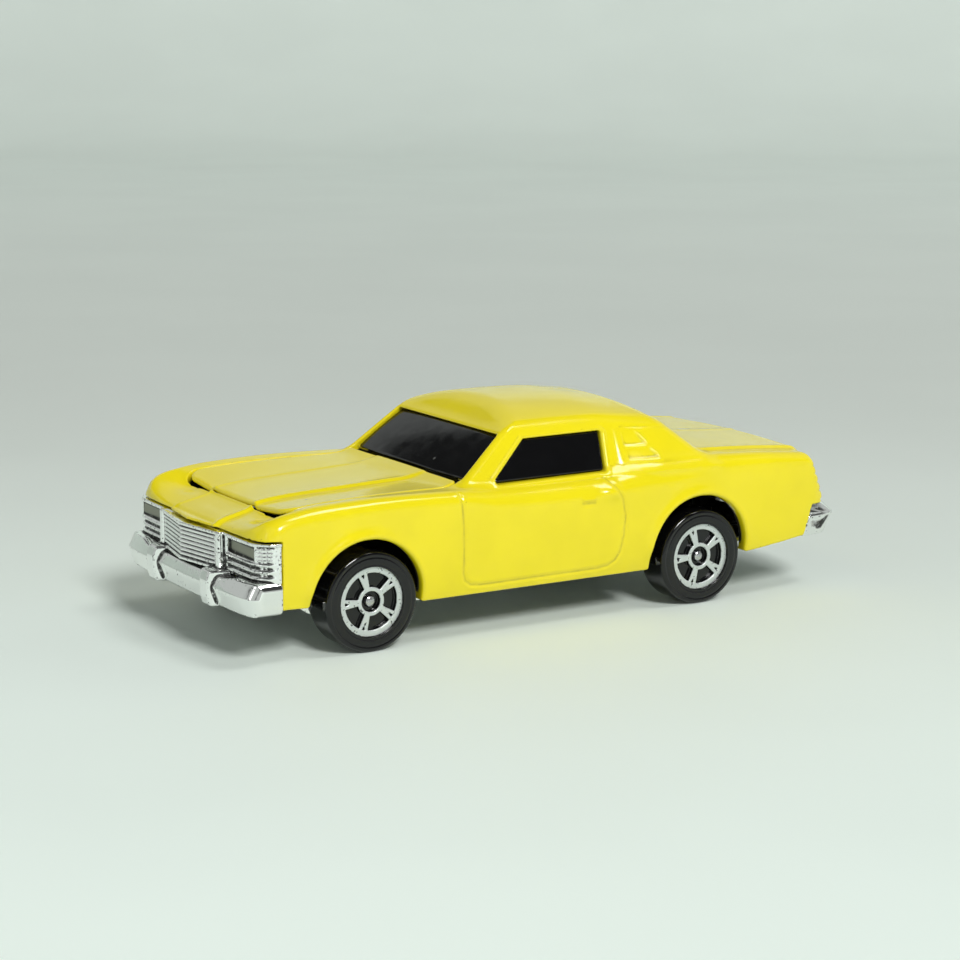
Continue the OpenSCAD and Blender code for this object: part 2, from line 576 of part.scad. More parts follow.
module firewall() {
    translate([firewall_x - glazing_wall, -firewall_half, firewall_z])
        cube([glazing_wall, 2 * firewall_half, cabin_foot_z + 0.8 - firewall_z]);
    translate([firewall_x - glazing_wall, -pin_end_y, keeper_top_z - keeper_height])
        cube([glazing_wall, 2 * pin_end_y, keeper_height]);
    for (side = [-1, 1])
        translate([firewall_x - overlap, side * (pin_end_y - 0.4) - 0.4, keeper_top_z - keeper_height])
            cube([hinge_x - firewall_x + hinge_r, 0.8, keeper_height]);
}
module glazing() color(black) {
    difference() {
        union() {
            glazing_solid(glazing_inset);
            panes();
        }
        translate([0, 0, -overlap]) glazing_solid(glazing_inset + glazing_wall);
    }
    firewall();
}

// A wheel, made with its outer face at the origin and its axle along Z
tyre_r = wheel_diameter / 2;
boss_r = axle_diameter * 1.3;
web_depth = wheel_width / 2;
rim_sink = 0.25;
window_r = rim_diameter / 2 - rim_ring;
function half_pitch(r, width) = 180 / spoke_count - asin(width / 2 / r);
function window_arc(r, width, turn) = [for (k = [-1:0.25:1])
    let (a = turn * k * half_pitch(r, width)) r * [cos(a), sin(a)]];
module spoke_windows() for (i = [0:spoke_count - 1]) rotate(360 * i / spoke_count) {
    rotate(180 / spoke_count)
        polygon(concat(window_arc(hub_diameter / 2, spoke_root, 1), window_arc(window_r, spoke_tip, -1)));
    polygon([[window_r - fork_depth, 0], [window_r, fork_width / 2], [window_r, -fork_width / 2]]);
}
module wheel() difference() {
    rotate_extrude() polygon([[0, -wheel_width], [boss_r, -wheel_width], [boss_r + 0.2, -web_depth],
        [tyre_r - 1, -web_depth], [tyre_r - 1, -wheel_width], [tyre_r - 0.35, -wheel_width],
        [tyre_r, -wheel_width + 0.35], [tyre_r, -0.5], [tyre_r - 0.15, -0.15], [tyre_r - 0.5, 0],
        [rim_diameter / 2 + 0.35, 0], [rim_diameter / 2, -rim_sink], [0, -rim_sink]]);
    translate([0, 0, -rim_sink - spoke_depth]) linear_extrude(reach) spoke_windows();
    translate([0, 0, -rim_sink - spoke_depth]) cylinder(d = hub_well_diameter, h = reach);
    cylinder(d = axle_diameter, h = reach, center = true);
}
module wheel_at(x, side) color(black) translate([x, side * wheel_face_y, axle_z]) rotate([-90 * side, 0, 0])
    wheel();
module wheel_front_left() wheel_at(front_axle_x, 1);
module wheel_front_right() wheel_at(front_axle_x, -1);
module wheel_rear_left() wheel_at(rear_axle_x, 1);
module wheel_rear_right() wheel_at(rear_axle_x, -1);

// An axle: a plain pin with domed ends that fill the wheels' hubs
axle_end_y = wheel_face_y - 0.35;
axle_dome = 0.25;
function dome_point(k) = [axle_diameter / 2 * sin(22.5 * k), axle_end_y - axle_dome * (1 - cos(22.5 * k))];
module axle(x) color(steel) translate([x, 0, axle_z]) rotate([90, 0, 0]) rotate_extrude()
    polygon(concat([for (k = [0:4]) dome_point(k)],
        [for (k = [4:-1:0]) [dome_point(k)[0], -dome_point(k)[1]]]));
module front_axle() axle(front_axle_x);
module rear_axle() axle(rear_axle_x);

// The chrome chassis: plate, bearing cheeks, engine, front and rear bumpers
plate_half = half_width - sill_tuck - wall - chassis_clearance - 0.5;
nose_kick_x = front_arch_x + arch_radius;
tail_kick_x = rear_arch_x - arch_radius;
kick_run = 3;
plate_rear_x = stern_x + 2.2;
module plate_profile(rise) polygon([[plate_rear_x, tail_plate_z + rise],
    [tail_kick_x - kick_run / 2, tail_plate_z + rise], [tail_kick_x + kick_run / 2, plate_height + rise],
    [nose_kick_x - kick_run / 2, plate_height + rise], [nose_kick_x + kick_run / 2, nose_plate_z + rise],
    [header_x - fascia_wall, nose_plate_z + rise], [header_x - fascia_wall, reach], [plate_rear_x, reach]]);
module plate() intersection() {
    slab(0, reach) plate_plan();
    rotate([90, 0, 0]) linear_extrude(reach, center = true) difference() {
        plate_profile(0);
        plate_profile(plate_thickness);
    }
}
module plate_plan() difference() {
    translate([stern_x + 2, -plate_half]) square([header_x - stern_x - 2, 2 * plate_half]);
    for (x = [front_axle_x, rear_axle_x], side = [-1, 1]) translate([x, side * half_width])
        square([wheel_diameter + 2 * wheel_clearance, 2 * (half_width - cheek_y)], center = true);
}
cheek_wall = 1.6;
module bearing_cheeks() for (x = [front_axle_x, rear_axle_x], side = [-1, 1])
    translate([x - cheek_wall, side > 0 ? cheek_y - cheek_wall : -cheek_y, plate_top_z])
        cube([2 * cheek_wall, cheek_wall, axle_z + axle_diameter - plate_top_z]);
well_height = 9.6;
module wheel_walls() for (side = [-1, 1])
    translate([rear_axle_x - tyre_r, side * (cheek_y - 1) - 0.4, plate_top_z - overlap])
        cube([2 * tyre_r, 0.8, well_height - plate_top_z]);
module axle_ways() for (x = [front_axle_x, rear_axle_x]) {
    across(x, axle_z, axle_diameter / 2 + axle_clearance, reach);
    translate([x, 0, axle_z + reach / 2]) cube([axle_diameter * 0.86, reach, reach], center = true);
    across(x, axle_z, axle_diameter / 2 + 0.2, 2 * (cheek_y - cheek_wall));
}
engine_length = 11;
engine_width = 6;
engine_height = 1.8;
head_width = 1.8;
head_height = 2.5;
cleaner_diameter = 5;
cleaner_height = 3.3;
radiator_width = 9;
module engine() translate([front_axle_x - engine_length / 11, 0, plate_top_z]) {
    translate([-engine_length / 2, -engine_width / 2, 0]) cube([engine_length, engine_width, engine_height]);
    for (side = [-1, 1])
        translate([-engine_length / 2 + 0.5, side * (engine_width / 2 + 0.2) - head_width / 2, 0])
            cube([engine_length - 1, head_width, head_height]);
    cylinder(d = cleaner_diameter, h = cleaner_height);
    translate([engine_length / 2 + head_width - 0.3, -radiator_width / 2, 0])
        cube([head_width / 2, radiator_width, cleaner_height]);
}
module rivet_holes() for (place = post_places) translate([place[0], 0, place[1]]) {
    cylinder(d = rivet_diameter + 2 * rivet_clearance, h = 2 * (plate_thickness + overlap), center = true);
    cylinder(r = rivet_head_r + rivet_clearance, h = 2 * (rivet_head_h + rivet_clearance), center = true);
    translate([0, 0, plate_thickness]) cylinder(d = post_diameter + 2 * rivet_clearance, h = reach);
}

// Chrome front: plan of the fascia and of the bowed bumper, each with a wrapped end
fascia_top_z = header_height - 2 * chassis_clearance;
fascia_foot_z = bumper_height + bumper_face + 0.3;
fascia_x = header_x + 0.1;
grille_proud = 0.45;
lamp_inner_y = grille_width / 2 + 1.1;
lamp_outer_y = lamp_inner_y + 4.8;
lamp_z = fascia_top_z - 1.75;
lamp_height = 1.35;
module fascia_plan() {
    end = half_width - 0.1;
    offset(r = 1, $fn = 24) offset(delta = -1) polygon([[flank_x - 4, -end], [flank_x + 0.4, -end],
        [fascia_x - 0.75, -end + 0.75], [fascia_x - 0.1, -end + 1.9], [fascia_x, 0],
        [fascia_x - 0.1, end - 1.9], [fascia_x - 0.75, end - 0.75], [flank_x + 0.4, end],
        [flank_x - 4, end]]);
}
module bumper_plan() {
    end = half_width;
    bow = header_x + 0.7;
    offset(r = 0.8, $fn = 24) offset(delta = -0.8) polygon([[flank_x - 4, -end], [flank_x + 1.2, -end],
        [bow, -end + 1.6], [bow + 0.25, -end + 5.5], [nose_x - 0.55, -5.4], [nose_x, -3.6], [nose_x, 3.6],
        [nose_x - 0.55, 5.4], [bow + 0.25, end - 5.5], [bow, end - 1.6], [flank_x + 1.2, end],
        [flank_x - 4, end]]);
}
module cut_back(inner) difference() {
    children();
    translate([flank_x + chassis_clearance - reach, -reach / 2]) square(reach);
    if (inner) translate([header_x - fascia_wall - reach, -half_width + 1.1])
        square([reach, body_width - 2.2]);
}
module slab(low, high) translate([0, 0, low]) linear_extrude(high - low) children();
module lamp_recess(side, depth) translate([fascia_x - depth, side > 0 ? lamp_inner_y : -lamp_outer_y, lamp_z])
    cube([reach, lamp_outer_y - lamp_inner_y, lamp_height]);
module fascia() difference() {
    union() {
        slab(fascia_foot_z, fascia_top_z) cut_back(true) fascia_plan();
        translate([fascia_x - 0.6, -grille_width / 2, fascia_foot_z + 0.2])
            cube([0.6 + grille_proud, grille_width, fascia_top_z - fascia_foot_z - 0.3]);
    }
    grille_grooves();
    for (side = [-1, 1]) lamp_recess(side, 0.45);
    for (i = [0:2]) slab(fascia_foot_z + 0.3 + 0.5 * i, fascia_foot_z + 0.5 + 0.5 * i) difference() {
        translate([flank_x, -reach / 2]) square(reach);
        offset(delta = -0.25) fascia_plan();
        translate([flank_x, -lamp_inner_y + 0.4]) square([reach, 2 * lamp_inner_y - 0.8]);
    }
}
module grille_grooves() {
    pitch = (fascia_top_z - fascia_foot_z - 0.6) / grille_bar_count;
    for (i = [1:grille_bar_count - 1])
        translate([fascia_x + grille_proud - 0.4, -grille_width / 2 + 0.9, fascia_foot_z + 0.24 + i * pitch])
            cube([1, grille_width - 1.8, pitch / 2]);
}
module front_bumper() {
    top = bumper_height + bumper_face;
    intersection() {
        slab(bumper_height, top) cut_back(true) bumper_plan();
        rotate([90, 0, 0]) linear_extrude(reach, center = true) polygon([[flank_x, bumper_height],
            [nose_x - 0.5, bumper_height], [nose_x, bumper_height + 0.5], [nose_x, top - 0.9],
            [nose_x - 1, top], [flank_x, top]]);
    }
    for (side = [-1, 1]) bumper_guard(side);
    slab(nose_plate_z, nose_plate_z + plate_thickness) translate([header_x - fascia_wall - 0.5, -plate_half])
        square([fascia_wall + 1, 2 * plate_half]);
    slab(bumper_height + 1, fascia_top_z - 1) for (side = [-1, 1])
        translate([header_x - fascia_wall - 0.2, side * 5 - 2]) square([fascia_wall, 4]);
}
module bumper_guard(side) translate([0, side * 6.6, bumper_height - 0.1]) linear_extrude(bumper_face + 0.5)
    polygon([[header_x + 0.2, -1.6], [nose_x - 0.4, -1.1], [nose_x - 0.15, -0.7], [nose_x - 0.15, 0.7],
        [nose_x - 0.4, 1.1], [header_x + 0.2, 1.6]]);
module rear_bumper() {
    end = half_width - 0.8;
    front = rear_bumper_x - chassis_clearance;
    top = tail_foot_height - chassis_clearance;
    low = tail_height - 0.3;
    intersection() {
        slab(low, top) offset(r = 0.6, $fn = 24) offset(delta = -0.6) polygon([[front + 0.4, end + 0.4],
            [stern_x + 0.6, end], [tail_x + 0.7, end - 1.6], [tail_x, 5], [tail_x, -5],
            [tail_x + 0.7, -end + 1.6], [stern_x + 0.6, -end], [front + 0.4, -end - 0.4]]);
        rotate([90, 0, 0]) linear_extrude(reach, center = true) polygon([[front, low], [tail_x + 1, low],
            [tail_x, top - 1.25], [tail_x + 1.6, top], [front, top]]);
    }
}
module chassis() color(chrome) difference() {
    union() {
        plate();
        bearing_cheeks();
        wheel_walls();
        engine();
        fascia();
        front_bumper();
        rear_bumper();
    }
    axle_ways();
    rivet_holes();
}

body_shell();
bonnet();
glazing();
chassis();
front_axle();
rear_axle();
wheel_front_left();
wheel_front_right();
wheel_rear_left();
wheel_rear_right();
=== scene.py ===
"""Looks of a die-cast toy coupe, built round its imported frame.

Each piece is a solid written as a field of distances in millimetres, meshed on a fine lattice.
"""
import functools
import json
import math

import bpy
import numpy as np
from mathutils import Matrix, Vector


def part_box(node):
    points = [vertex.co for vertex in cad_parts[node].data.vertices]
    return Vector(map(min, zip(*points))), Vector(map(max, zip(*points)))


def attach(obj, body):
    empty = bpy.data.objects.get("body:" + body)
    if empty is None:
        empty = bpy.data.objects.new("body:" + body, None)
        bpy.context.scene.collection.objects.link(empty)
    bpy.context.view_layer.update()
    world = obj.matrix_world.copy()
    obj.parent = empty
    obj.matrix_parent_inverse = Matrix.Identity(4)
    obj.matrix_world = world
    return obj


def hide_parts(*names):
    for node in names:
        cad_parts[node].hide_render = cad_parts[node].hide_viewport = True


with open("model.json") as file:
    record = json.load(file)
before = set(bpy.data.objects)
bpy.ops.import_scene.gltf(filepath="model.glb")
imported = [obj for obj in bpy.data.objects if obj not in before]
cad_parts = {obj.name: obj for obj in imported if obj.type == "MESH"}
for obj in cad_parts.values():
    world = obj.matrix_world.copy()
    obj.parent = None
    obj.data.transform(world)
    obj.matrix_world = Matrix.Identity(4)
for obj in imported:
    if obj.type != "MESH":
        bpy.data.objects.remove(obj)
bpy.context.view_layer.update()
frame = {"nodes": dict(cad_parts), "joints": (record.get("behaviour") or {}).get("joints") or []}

import openvdb
from mathutils import Matrix, Vector

bl_info = {
    "name": "Die-cast toy coupe",
    "version": (1, 0, 0),
    "blender": (4, 5, 0),
    "location": "View3D > Sidebar > Toy car",
    "description": "Builds a painted toy coupe with an opening bonnet round its packed frame",
    "category": "Add Mesh",
}

MM = 0.001
AXLES = {j["child"]: j["pos_m"] for j in frame["joints"] if j.get("continuous")}
FRONT_X = AXLES["front_wheelset"][0] / MM
REAR_X = AXLES["rear_wheelset"][0] / MM
AXLE_Z = AXLES["front_wheelset"][2] / MM
HINGE = next(j["pos_m"] for j in frame["joints"] if j["child"] == "bonnet")
HINGE_X = HINGE[0] / MM
HINGE_Z = HINGE[2] / MM

# Places along the car in millimetres, ahead of its middle
GRILLE_X = 35.9
HEADER_X = 35.8
FLANK_X = 33.2
BONNET_X = 31.3
SCREEN_X = 11.84
COWL_X = 11.39
ROOF_X = 4.17
HANDLE_X = -2.8
ROOF_END_X = -13.62
CABIN_END_X = -20.53
BUMPER_X = -33.05
STERN_X = -36.0

# Places across the car, from its middle
VEE_Y = 6.9
CHEEK_Y = 10.35
ROOF_Y = 10.8
PIN_END_Y = 12.78
PAST_MIDDLE_Y = -1.0

# Heights above the floor, and the cabin's rise
ROOF_Z = 21.1
FOOT_Z = 15.29
RISE = ROOF_Z - FOOT_Z
GLASS_Z = 15.1
TAIL_TOP_Z = 14.6
HOLLOW_Z = 12.0
TAIL_FOOT_Z = 9.5
TAIL_PLATE_Z = 5.9
NOSE_PLATE_Z = 5.5
BAY_Z = 5.3
RELIEF_Z = 5.0
PLATE_Z = 4.1

# Other sizes, and the posts as their place along the car and the height of their feet
TAIL_RAKE = 2.1
PLATE_THICK = 1.2
PANEL_RISE = 0.28
ARCH_RADIUS = 6.4
WHEEL_RADIUS = 5.2
WHEEL_WIDTH = 4.2
WIRE_RADIUS = 0.55
PIN_RADIUS = 0.55
PANE_ROUND = 0.3
REAR_ROUND = 0.4
LOUVRE_ROUND = 0.16
SPOKES = 5
POSTS = ((33.7, NOSE_PLATE_Z), (-28.45, TAIL_PLATE_Z))

# Curves of the lower body along the car: heights, half widths and the shoulder's radius
CREST = [(-36.0, 14.3), (-34.0, 14.9), (-31.5, 15.35), (-23.7, 16.0), (-18.5, 16.2), (-10.1, 15.9),
         (-4.6, 15.1), (4.2, 15.1), (11.4, 15.35), (21.3, 15.6), (27.5, 15.45), (32.0, 15.0),
         (33.9, 14.45), (35.2, 13.55), (35.8, 12.7)]
MIDDLE = [(-36.0, 15.3), (-34.0, 15.75), (-29.0, 16.1), (-20.5, 16.6), (11.4, 16.0), (14.4, 15.5),
          (19.8, 15.2), (27.3, 14.85), (31.3, 14.4), (31.9, 13.95), (33.2, 13.6), (35.3, 13.1), (35.8, 12.8)]
WIDTH = [(-36.0, 13.7), (-34.7, 14.4), (-32.7, 14.85), (-28.0, 15.03), (-17.7, 15.08), (23.1, 15.08),
         (33.2, 15.0), (34.5, 14.6), (35.3, 13.8), (35.68, 13.0), (35.8, 12.3)]
LOWER = [(-36.0, 6.1), (-32.5, 6.0), (-28.4, 5.5), (-23.9, 5.0), (-11.0, 4.45), (17.2, 4.45), (30.0, 5.4),
         (33.2, 5.5), (35.8, 5.5)]
RAISED = [(-36.0, 11.4), (-20.5, 11.6), (11.4, 5.0), (31.3, 4.7), (35.8, 5.0)]
SHOULDER = [(-36.0, 0.9), (-21.0, 1.5), (-14.0, 2.5), (-6.0, 2.2), (8.0, 1.9), (13.0, 1.2), (35.8, 1.35)]

# How far the flank tucks in at each height
FLANK_TUCK = [(4.0, 0.85), (5.9, 0.34), (7.8, 0.1), (9.8, 0.0), (12.2, 0.02), (13.6, 0.1), (15.5, 0.28)]

# Curves of the cabin along the car: half width at its foot, roof's edge, rise of the crown
CABIN_HALF = [(-21.0, 14.6), (-13.0, 14.6), (-6.6, 13.15), (7.4, 13.0), (11.2, 12.9), (11.9, 12.4)]
ROOF_EDGE = [(-14.5, 20.5), (-10.9, 20.75), (-6.1, 21.05), (-1.3, 21.1), (5.5, 21.1), (7.0, 21.0)]
ROOF_CROWN = [(-14.5, 1.2), (-10.9, 1.35), (-6.1, 1.62), (-1.3, 1.7), (3.2, 1.62), (4.2, 1.45), (5.5, 1.05),
              (7.0, 0.5)]

# Faces of the plated pieces, from the middle of the car to its side
FASCIA = [(0, 35.9), (8.0, 35.86), (12.6, 35.75), (13.9, 35.35), (14.7, 34.5), (15.1, 33.2)]
NOSE_BAR = [(0, 37.6), (4.4, 37.55), (9.7, 37.5), (13.2, 37.25), (15.3, 36.7)]
TAIL_BAR = [(0, -38.0), (5.0, -37.98), (12.4, -37.3), (13.9, -36.5), (14.45, -35.2), (14.75, -32.4)]

# Outlines of openings and lines, as corners that are then rounded outward
SIDE_WINDOW = [(7.2, 15.68), (3.1, 19.3), (-6.2, 19.35), (-5.95, 15.8)]
SCREEN = [(-11.35, 16.1), (11.35, 16.1), (10.2, 19.8), (-10.2, 19.8)]
REAR_PLAN = [(-18.7, -8.6), (-14.6, -7.8), (-14.6, 7.8), (-18.7, 8.6)]
DOOR_LINE = [(12.75, 15.2), (12.6, 12.0), (12.5, 7.0), (12.25, 6.1), (11.5, 5.6), (10.4, 5.45), (-4.0, 5.5),
             (-5.4, 5.65), (-6.3, 6.15), (-6.85, 7.0), (-7.3, 8.8), (-7.43, 11.0), (-7.1, 12.8),
             (-6.5, 13.9), (-5.2, 15.3)]
LOUVRES = ([(-9.1, 19.3), (-10.5, 19.3), (-11.4, 18.05), (-9.1, 18.05)],
           [(-9.2, 17.45), (-11.8, 17.45), (-12.4, 16.7), (-9.3, 16.7)])

# Small marks on the finishes
CHIP_COLOUR = (0.09, 0.075, 0.02, 1.0)
DUST_COLOUR = (0.35, 0.36, 0.35, 1.0)
MOTTLE_COLOUR = (0.4, 0.44, 0.41, 1.0)

# The stage in metres: paper sweep, softboxes, room and camera
AWAY = (-0.5195, -0.8545, 0.0)
SWEEP_BEND = 0.35
SWEEP_TOP = 0.45
SWEEP_HALF = 3.0
LIGHT_AIM = (0.0, 0.0, 0.01)
SOFTBOXES = (("key_light", (0.1, 2.3, 1.95), 0.8, 61.5),
             ("top_light", (-1.08, 0.72, 2.7), 0.8, 17.5),
             ("nose_light", (2.6, 0.5, 1.2), 1.0, 3.0))
ROOM_COLOUR = (0.95, 1.0, 0.97, 1.0)
OPENING_AXES = ((0.961, 0.276, 0.0), (-0.177, 0.618, 0.766))
OPENING_HALF = 0.22
PATCH_AXIS = (0.88, 0.25, 0.4)
CAMERA_LENS = 93.07
CAMERA_PLACE = (0.13995, 0.22773, 0.0649)
CAMERA_RIGHT = (-0.8548771, 0.5188224, 0.0029022)
CAMERA_UP = (-0.0964739, -0.1644539, 0.9816556)


def smooth_curve(points, at):
    """Values of a smooth curve through points, without overshoot."""
    px, py = np.array(points, np.float32).T
    slope = np.diff(py) / np.diff(px)
    before, after = slope[:-1], slope[1:]
    total = np.where(before + after == 0, 1, before + after)
    inner = np.where(before * after > 0, 2 * before * after / total, 0)
    tangent = np.concatenate([slope[:1], inner, slope[-1:]])
    i = np.clip(np.searchsorted(px, at, side="right") - 1, 0, len(px) - 2)
    run = px[i + 1] - px[i]
    t = np.clip((at - px[i]) / run, 0, 1)
    left = (1 + 2 * t) * (1 - t) ** 2 * py[i] + t * (1 - t) ** 2 * run * tangent[i]
    right = t * t * (3 - 2 * t) * py[i + 1] - t * t * (1 - t) * run * tangent[i + 1]
    return (left + right).astype(np.float32)


def step_up(value, low, high):
    """A smooth rise from 0 at low to 1 at high."""
    t = np.clip((value - low) / (high - low), 0, 1)
    return t * t * (3 - 2 * t)


def ridge(distance, width):
    """A round-topped ridge of that half width."""
    return np.exp(-((distance / width) ** 2))


def meet(a, b, radius=0.0):
    """What lies in both solids, with a rounded edge."""
    if np.ndim(radius) == 0 and radius == 0:
        return np.maximum(a, b)
    both = np.hypot(np.maximum(a + radius, 0), np.maximum(b + radius, 0))
    return np.minimum(np.maximum(a, b), -radius) + both


def join(a, b, radius=0.0):
    """What lies in either solid, with a filled corner."""
    return -meet(-a, -b, radius)


def cut(a, b, radius=0.0):
    """The first solid without the second, with a rounded edge."""
    return meet(a, -b, radius)


def line_distance(points, u, v, closed=False):
    """Distance from a line through points."""
    best = np.float32(1e9)
    ends = points[1:] + points[:1] if closed else points[1:]
    for (au, av), (bu, bv) in zip(points, ends):
        du, dv = bu - au, bv - av
        t = np.clip(((u - au) * du + (v - av) * dv) / (du * du + dv * dv), 0, 1)
        best = np.minimum(best, (u - au - t * du) ** 2 + (v - av - t * dv) ** 2)
    return np.sqrt(best)


def outline(points, u, v, radius=0.0):
    """Signed distance from a closed outline, grown by a radius that rounds its corners."""
    inside = np.zeros(np.broadcast(u, v).shape, bool)
    for (au, av), (bu, bv) in zip(points, points[1:] + points[:1]):
        rise = bv - av if bv != av else 1e-9
        inside ^= ((av > v) != (bv > v)) & (u < (bu - au) * (v - av) / rise + au)
    return np.where(inside, -1, 1) * line_distance(points, u, v, True) - radius


def both(*solids):
    """What lies in every one of the solids, with sharp edges."""
    return functools.reduce(np.maximum, solids)


def either(*solids):
    """What lies in any of the solids, with sharp corners."""
    return functools.reduce(np.minimum, solids)


def without(solid, *spaces):
    """A solid with spaces taken out of it, with sharp edges."""
    for space in spaces:
        solid = np.maximum(solid, -space)
    return solid


def box_field(x, y, z, low, high, radius=0.0):
    """Distance from a block with rounded edges."""
    spans = [np.abs(v - (a + b) / 2) - (b - a) / 2 + radius for v, a, b in zip((x, y, z), low, high)]
    outside = np.sqrt(sum(np.maximum(s, 0) ** 2 for s in spans))
    return outside + np.minimum(both(*spans), 0) - radius


def rod_field(u, v, w, radius, low, high, edge=0.0):
    """Distance from a round bar along w, centred on u = v = 0."""
    return meet(np.hypot(u, v) - radius, np.abs(w - (low + high) / 2) - (high - low) / 2, edge)


def read_field(values, places):
    """Values of a sampled field between its points."""
    p = np.clip(places, 0, np.array(values.shape) - 1.001)
    i = p.astype(np.int32)
    f = (p - i).astype(np.float32)
    total = np.zeros(len(p), np.float32)
    for corner in range(8):
        d = [corner >> 2 & 1, corner >> 1 & 1, corner & 1]
        weight = np.ones(len(p), np.float32)
        for axis in range(3):
            weight *= f[:, axis] if d[axis] else 1 - f[:, axis]
        total += weight * values[i[:, 0] + d[0], i[:, 1] + d[1], i[:, 2] + d[2]]
    return total


class Lattice:
    """A block of sample points. A mirrored one is worked out on the car's left side only."""

    def __init__(self, low, high, step, mirrored=True):
        self.step = step
        self.mirrored = mirrored
        first = 0.0 if mirrored else low[1]
        self.low = np.array([low[0], first, low[2]])
        spans = [np.arange(a, b + step, step, dtype=np.float32) for a, b in zip(self.low, high)]
        self.x = spans[0][:, None, None]
        self.y = spans[1][None, :, None]
        self.z = spans[2][None, None, :]

    def whole(self, values):
        """Both sides of a field."""
        values = np.ascontiguousarray(np.broadcast_to(
            values, (self.x.size, self.y.size, self.z.size)), dtype=np.float32)
        if self.mirrored:
            values = np.concatenate([values[:, :0:-1, :], values], axis=1)
        return values

    def mesh(self, name, values, masks=None, coarse=0.0):
        """A mesh object of a field's zero surface, with normals and masks taken from fields."""
        values = self.whole(values)
        low = self.low.copy()
        if self.mirrored:
            low[1] = -(self.y.size - 1) * self.step
        band = 4 * self.step
        grid = openvdb.FloatGrid(band)
        grid.copyFromArray(np.clip(values, -band, band))
        points, triangles, quads = grid.convertToPolygons(0.0, coarse)
        points = points.astype(np.float64)
        for _ in range(2):
            slope = self.slope(values, points)
            size = np.maximum((slope ** 2).sum(1), 0.05)
            move = slope * (read_field(values, points) / self.step / size)[:, None]
            points -= np.clip(move, -0.5, 0.5)
        slope = self.slope(values, points)
        normals = slope / np.maximum(np.linalg.norm(slope, axis=1), 1e-6)[:, None]
        faces = [quads, triangles]
        sample = faces[0] if len(quads) else faces[1]
        a, b, c = (points[sample[:, k]] for k in range(3))
        facing = (np.cross(b - a, c - a) * normals[sample[:, 0]]).sum()
        if facing < 0:
            faces = [f[:, ::-1] for f in faces]
        obj = self.object(name, points * self.step + low, faces)
        obj.data.normals_split_custom_set_from_vertices(normals)
        self.mask(obj, "convexity", self.convexity(values, points))
        for key, field in (masks or {}).items():
            self.mask(obj, key, read_field(self.whole(field), points))
        return obj

    def sides(self, values, points, reach):
        """Values of a field a little ahead of points and behind them, along each axis."""
        for axis in range(3):
            shift = np.zeros(3)
            shift[axis] = reach
            yield read_field(values, points + shift), read_field(values, points - shift)

    def slope(self, values, points, reach=0.8):
        """Gradient of a field, for each millimetre."""
        parts = [ahead - behind for ahead, behind in self.sides(values, points, reach)]
        return np.stack(parts, 1) / (2 * reach * self.step)

    def convexity(self, values, points, reach=0.28):
        """How sharply a surface bends outward, from -1 in a groove to 1 on an edge."""
        total = sum(ahead + behind for ahead, behind in self.sides(values, points, reach / self.step))
        return np.clip(total / reach, -1, 1)

    def object(self, name, points, faces):
        """A Blender object from points in millimetres."""
        mesh = bpy.data.meshes.new(name)
        counts = [len(f) for f in faces]
        sides = [4] * counts[0] + [3] * counts[1]
        starts = np.concatenate([[0], np.cumsum(sides)[:-1]]).astype(np.int32)
        corners = np.concatenate([f.ravel() for f in faces]).astype(np.int32)
        mesh.vertices.add(len(points))
        mesh.vertices.foreach_set("co", (points * MM).astype(np.float32).ravel())
        mesh.loops.add(len(corners))
        mesh.loops.foreach_set("vertex_index", corners)
        mesh.polygons.add(len(sides))
        mesh.polygons.foreach_set("loop_start", starts)
        mesh.polygons.foreach_set("use_smooth", np.ones(len(sides), bool))
        mesh.update(calc_edges=True)
        mesh.validate()
        obj = bpy.data.objects.new(name, mesh)
        bpy.context.scene.collection.objects.link(obj)
        return obj

    def mask(self, obj, name, values):
        """Keeps one number for each point of a mesh."""
        layer = obj.data.attributes.new(name, "FLOAT", "POINT")
        layer.data.foreach_set("value", values.astype(np.float32))


def fineness(sizes, name):
    return getattr(sizes, name) / MM * 1.0


def peak(y):
    """The nose's shallow V, from 0 at its ends to 1 in the middle."""
    return np.clip(1 - np.abs(y) / VEE_Y, 0, 1)


def deck(x, y, header=True):
    """Height of the bonnet, header and boot, with the raised panel, its creases and the front scoops."""
    edge = smooth_curve(CREST, x) + 0.05
    middle = smooth_curve(MIDDLE, x) - PANEL_RISE
    reach = smooth_curve(WIDTH, x) - 1.6
    panel = smooth_curve(RAISED, x)
    across = np.abs(y)
    crease = 0.09 * (1 - step_up(x, 16.5, 12.5) * step_up(x, 0.0, 5.0))
    raised = PANEL_RISE * (1 - step_up(across, panel - 0.1, panel + 0.75))
    raised = raised + crease * ridge(across - panel, 0.32)
    spine = 0.07 * ridge(across, 0.4) * step_up(-x, 19, 22)
    share = np.clip(across / reach, 0, 1)
    dish = np.sin(math.pi / 2 * (1 - share))
    scoop = 0.0
    if header:
        flat = step_up(x, 29.5, 32)
        dish = dish * (1 - flat) + (1 - share ** 3) * flat
        scoop = 0.5 * ridge(np.hypot((x - 31.9) / 1.5, (across - 9.9) / 2.4), 1.0)
    return edge + (middle - edge) * dish + raised + spine - scoop


def grade(values, at, axis):
    """Length of a slanted unit step, to turn a height difference into a distance."""
    if at.size < 2:
        return 1.0
    return np.sqrt(1 + np.gradient(values, at.ravel(), axis=axis) ** 2)


def arch_distance(x, z):
    """Distance from the wheel openings, below zero inside them. The rear one is a little taller."""
    power = 2.1
    rise = z - AXLE_Z - 0.1
    front = np.hypot(x - FRONT_X - 0.5, rise) - ARCH_RADIUS
    dx = np.abs(x - REAR_X - 0.25) / 6.35
    dz = np.abs(rise) / 6.75
    rear = ((dx ** power + dz ** power) ** (1 / power) - 1) * ARCH_RADIUS
    return np.minimum(front, rear)


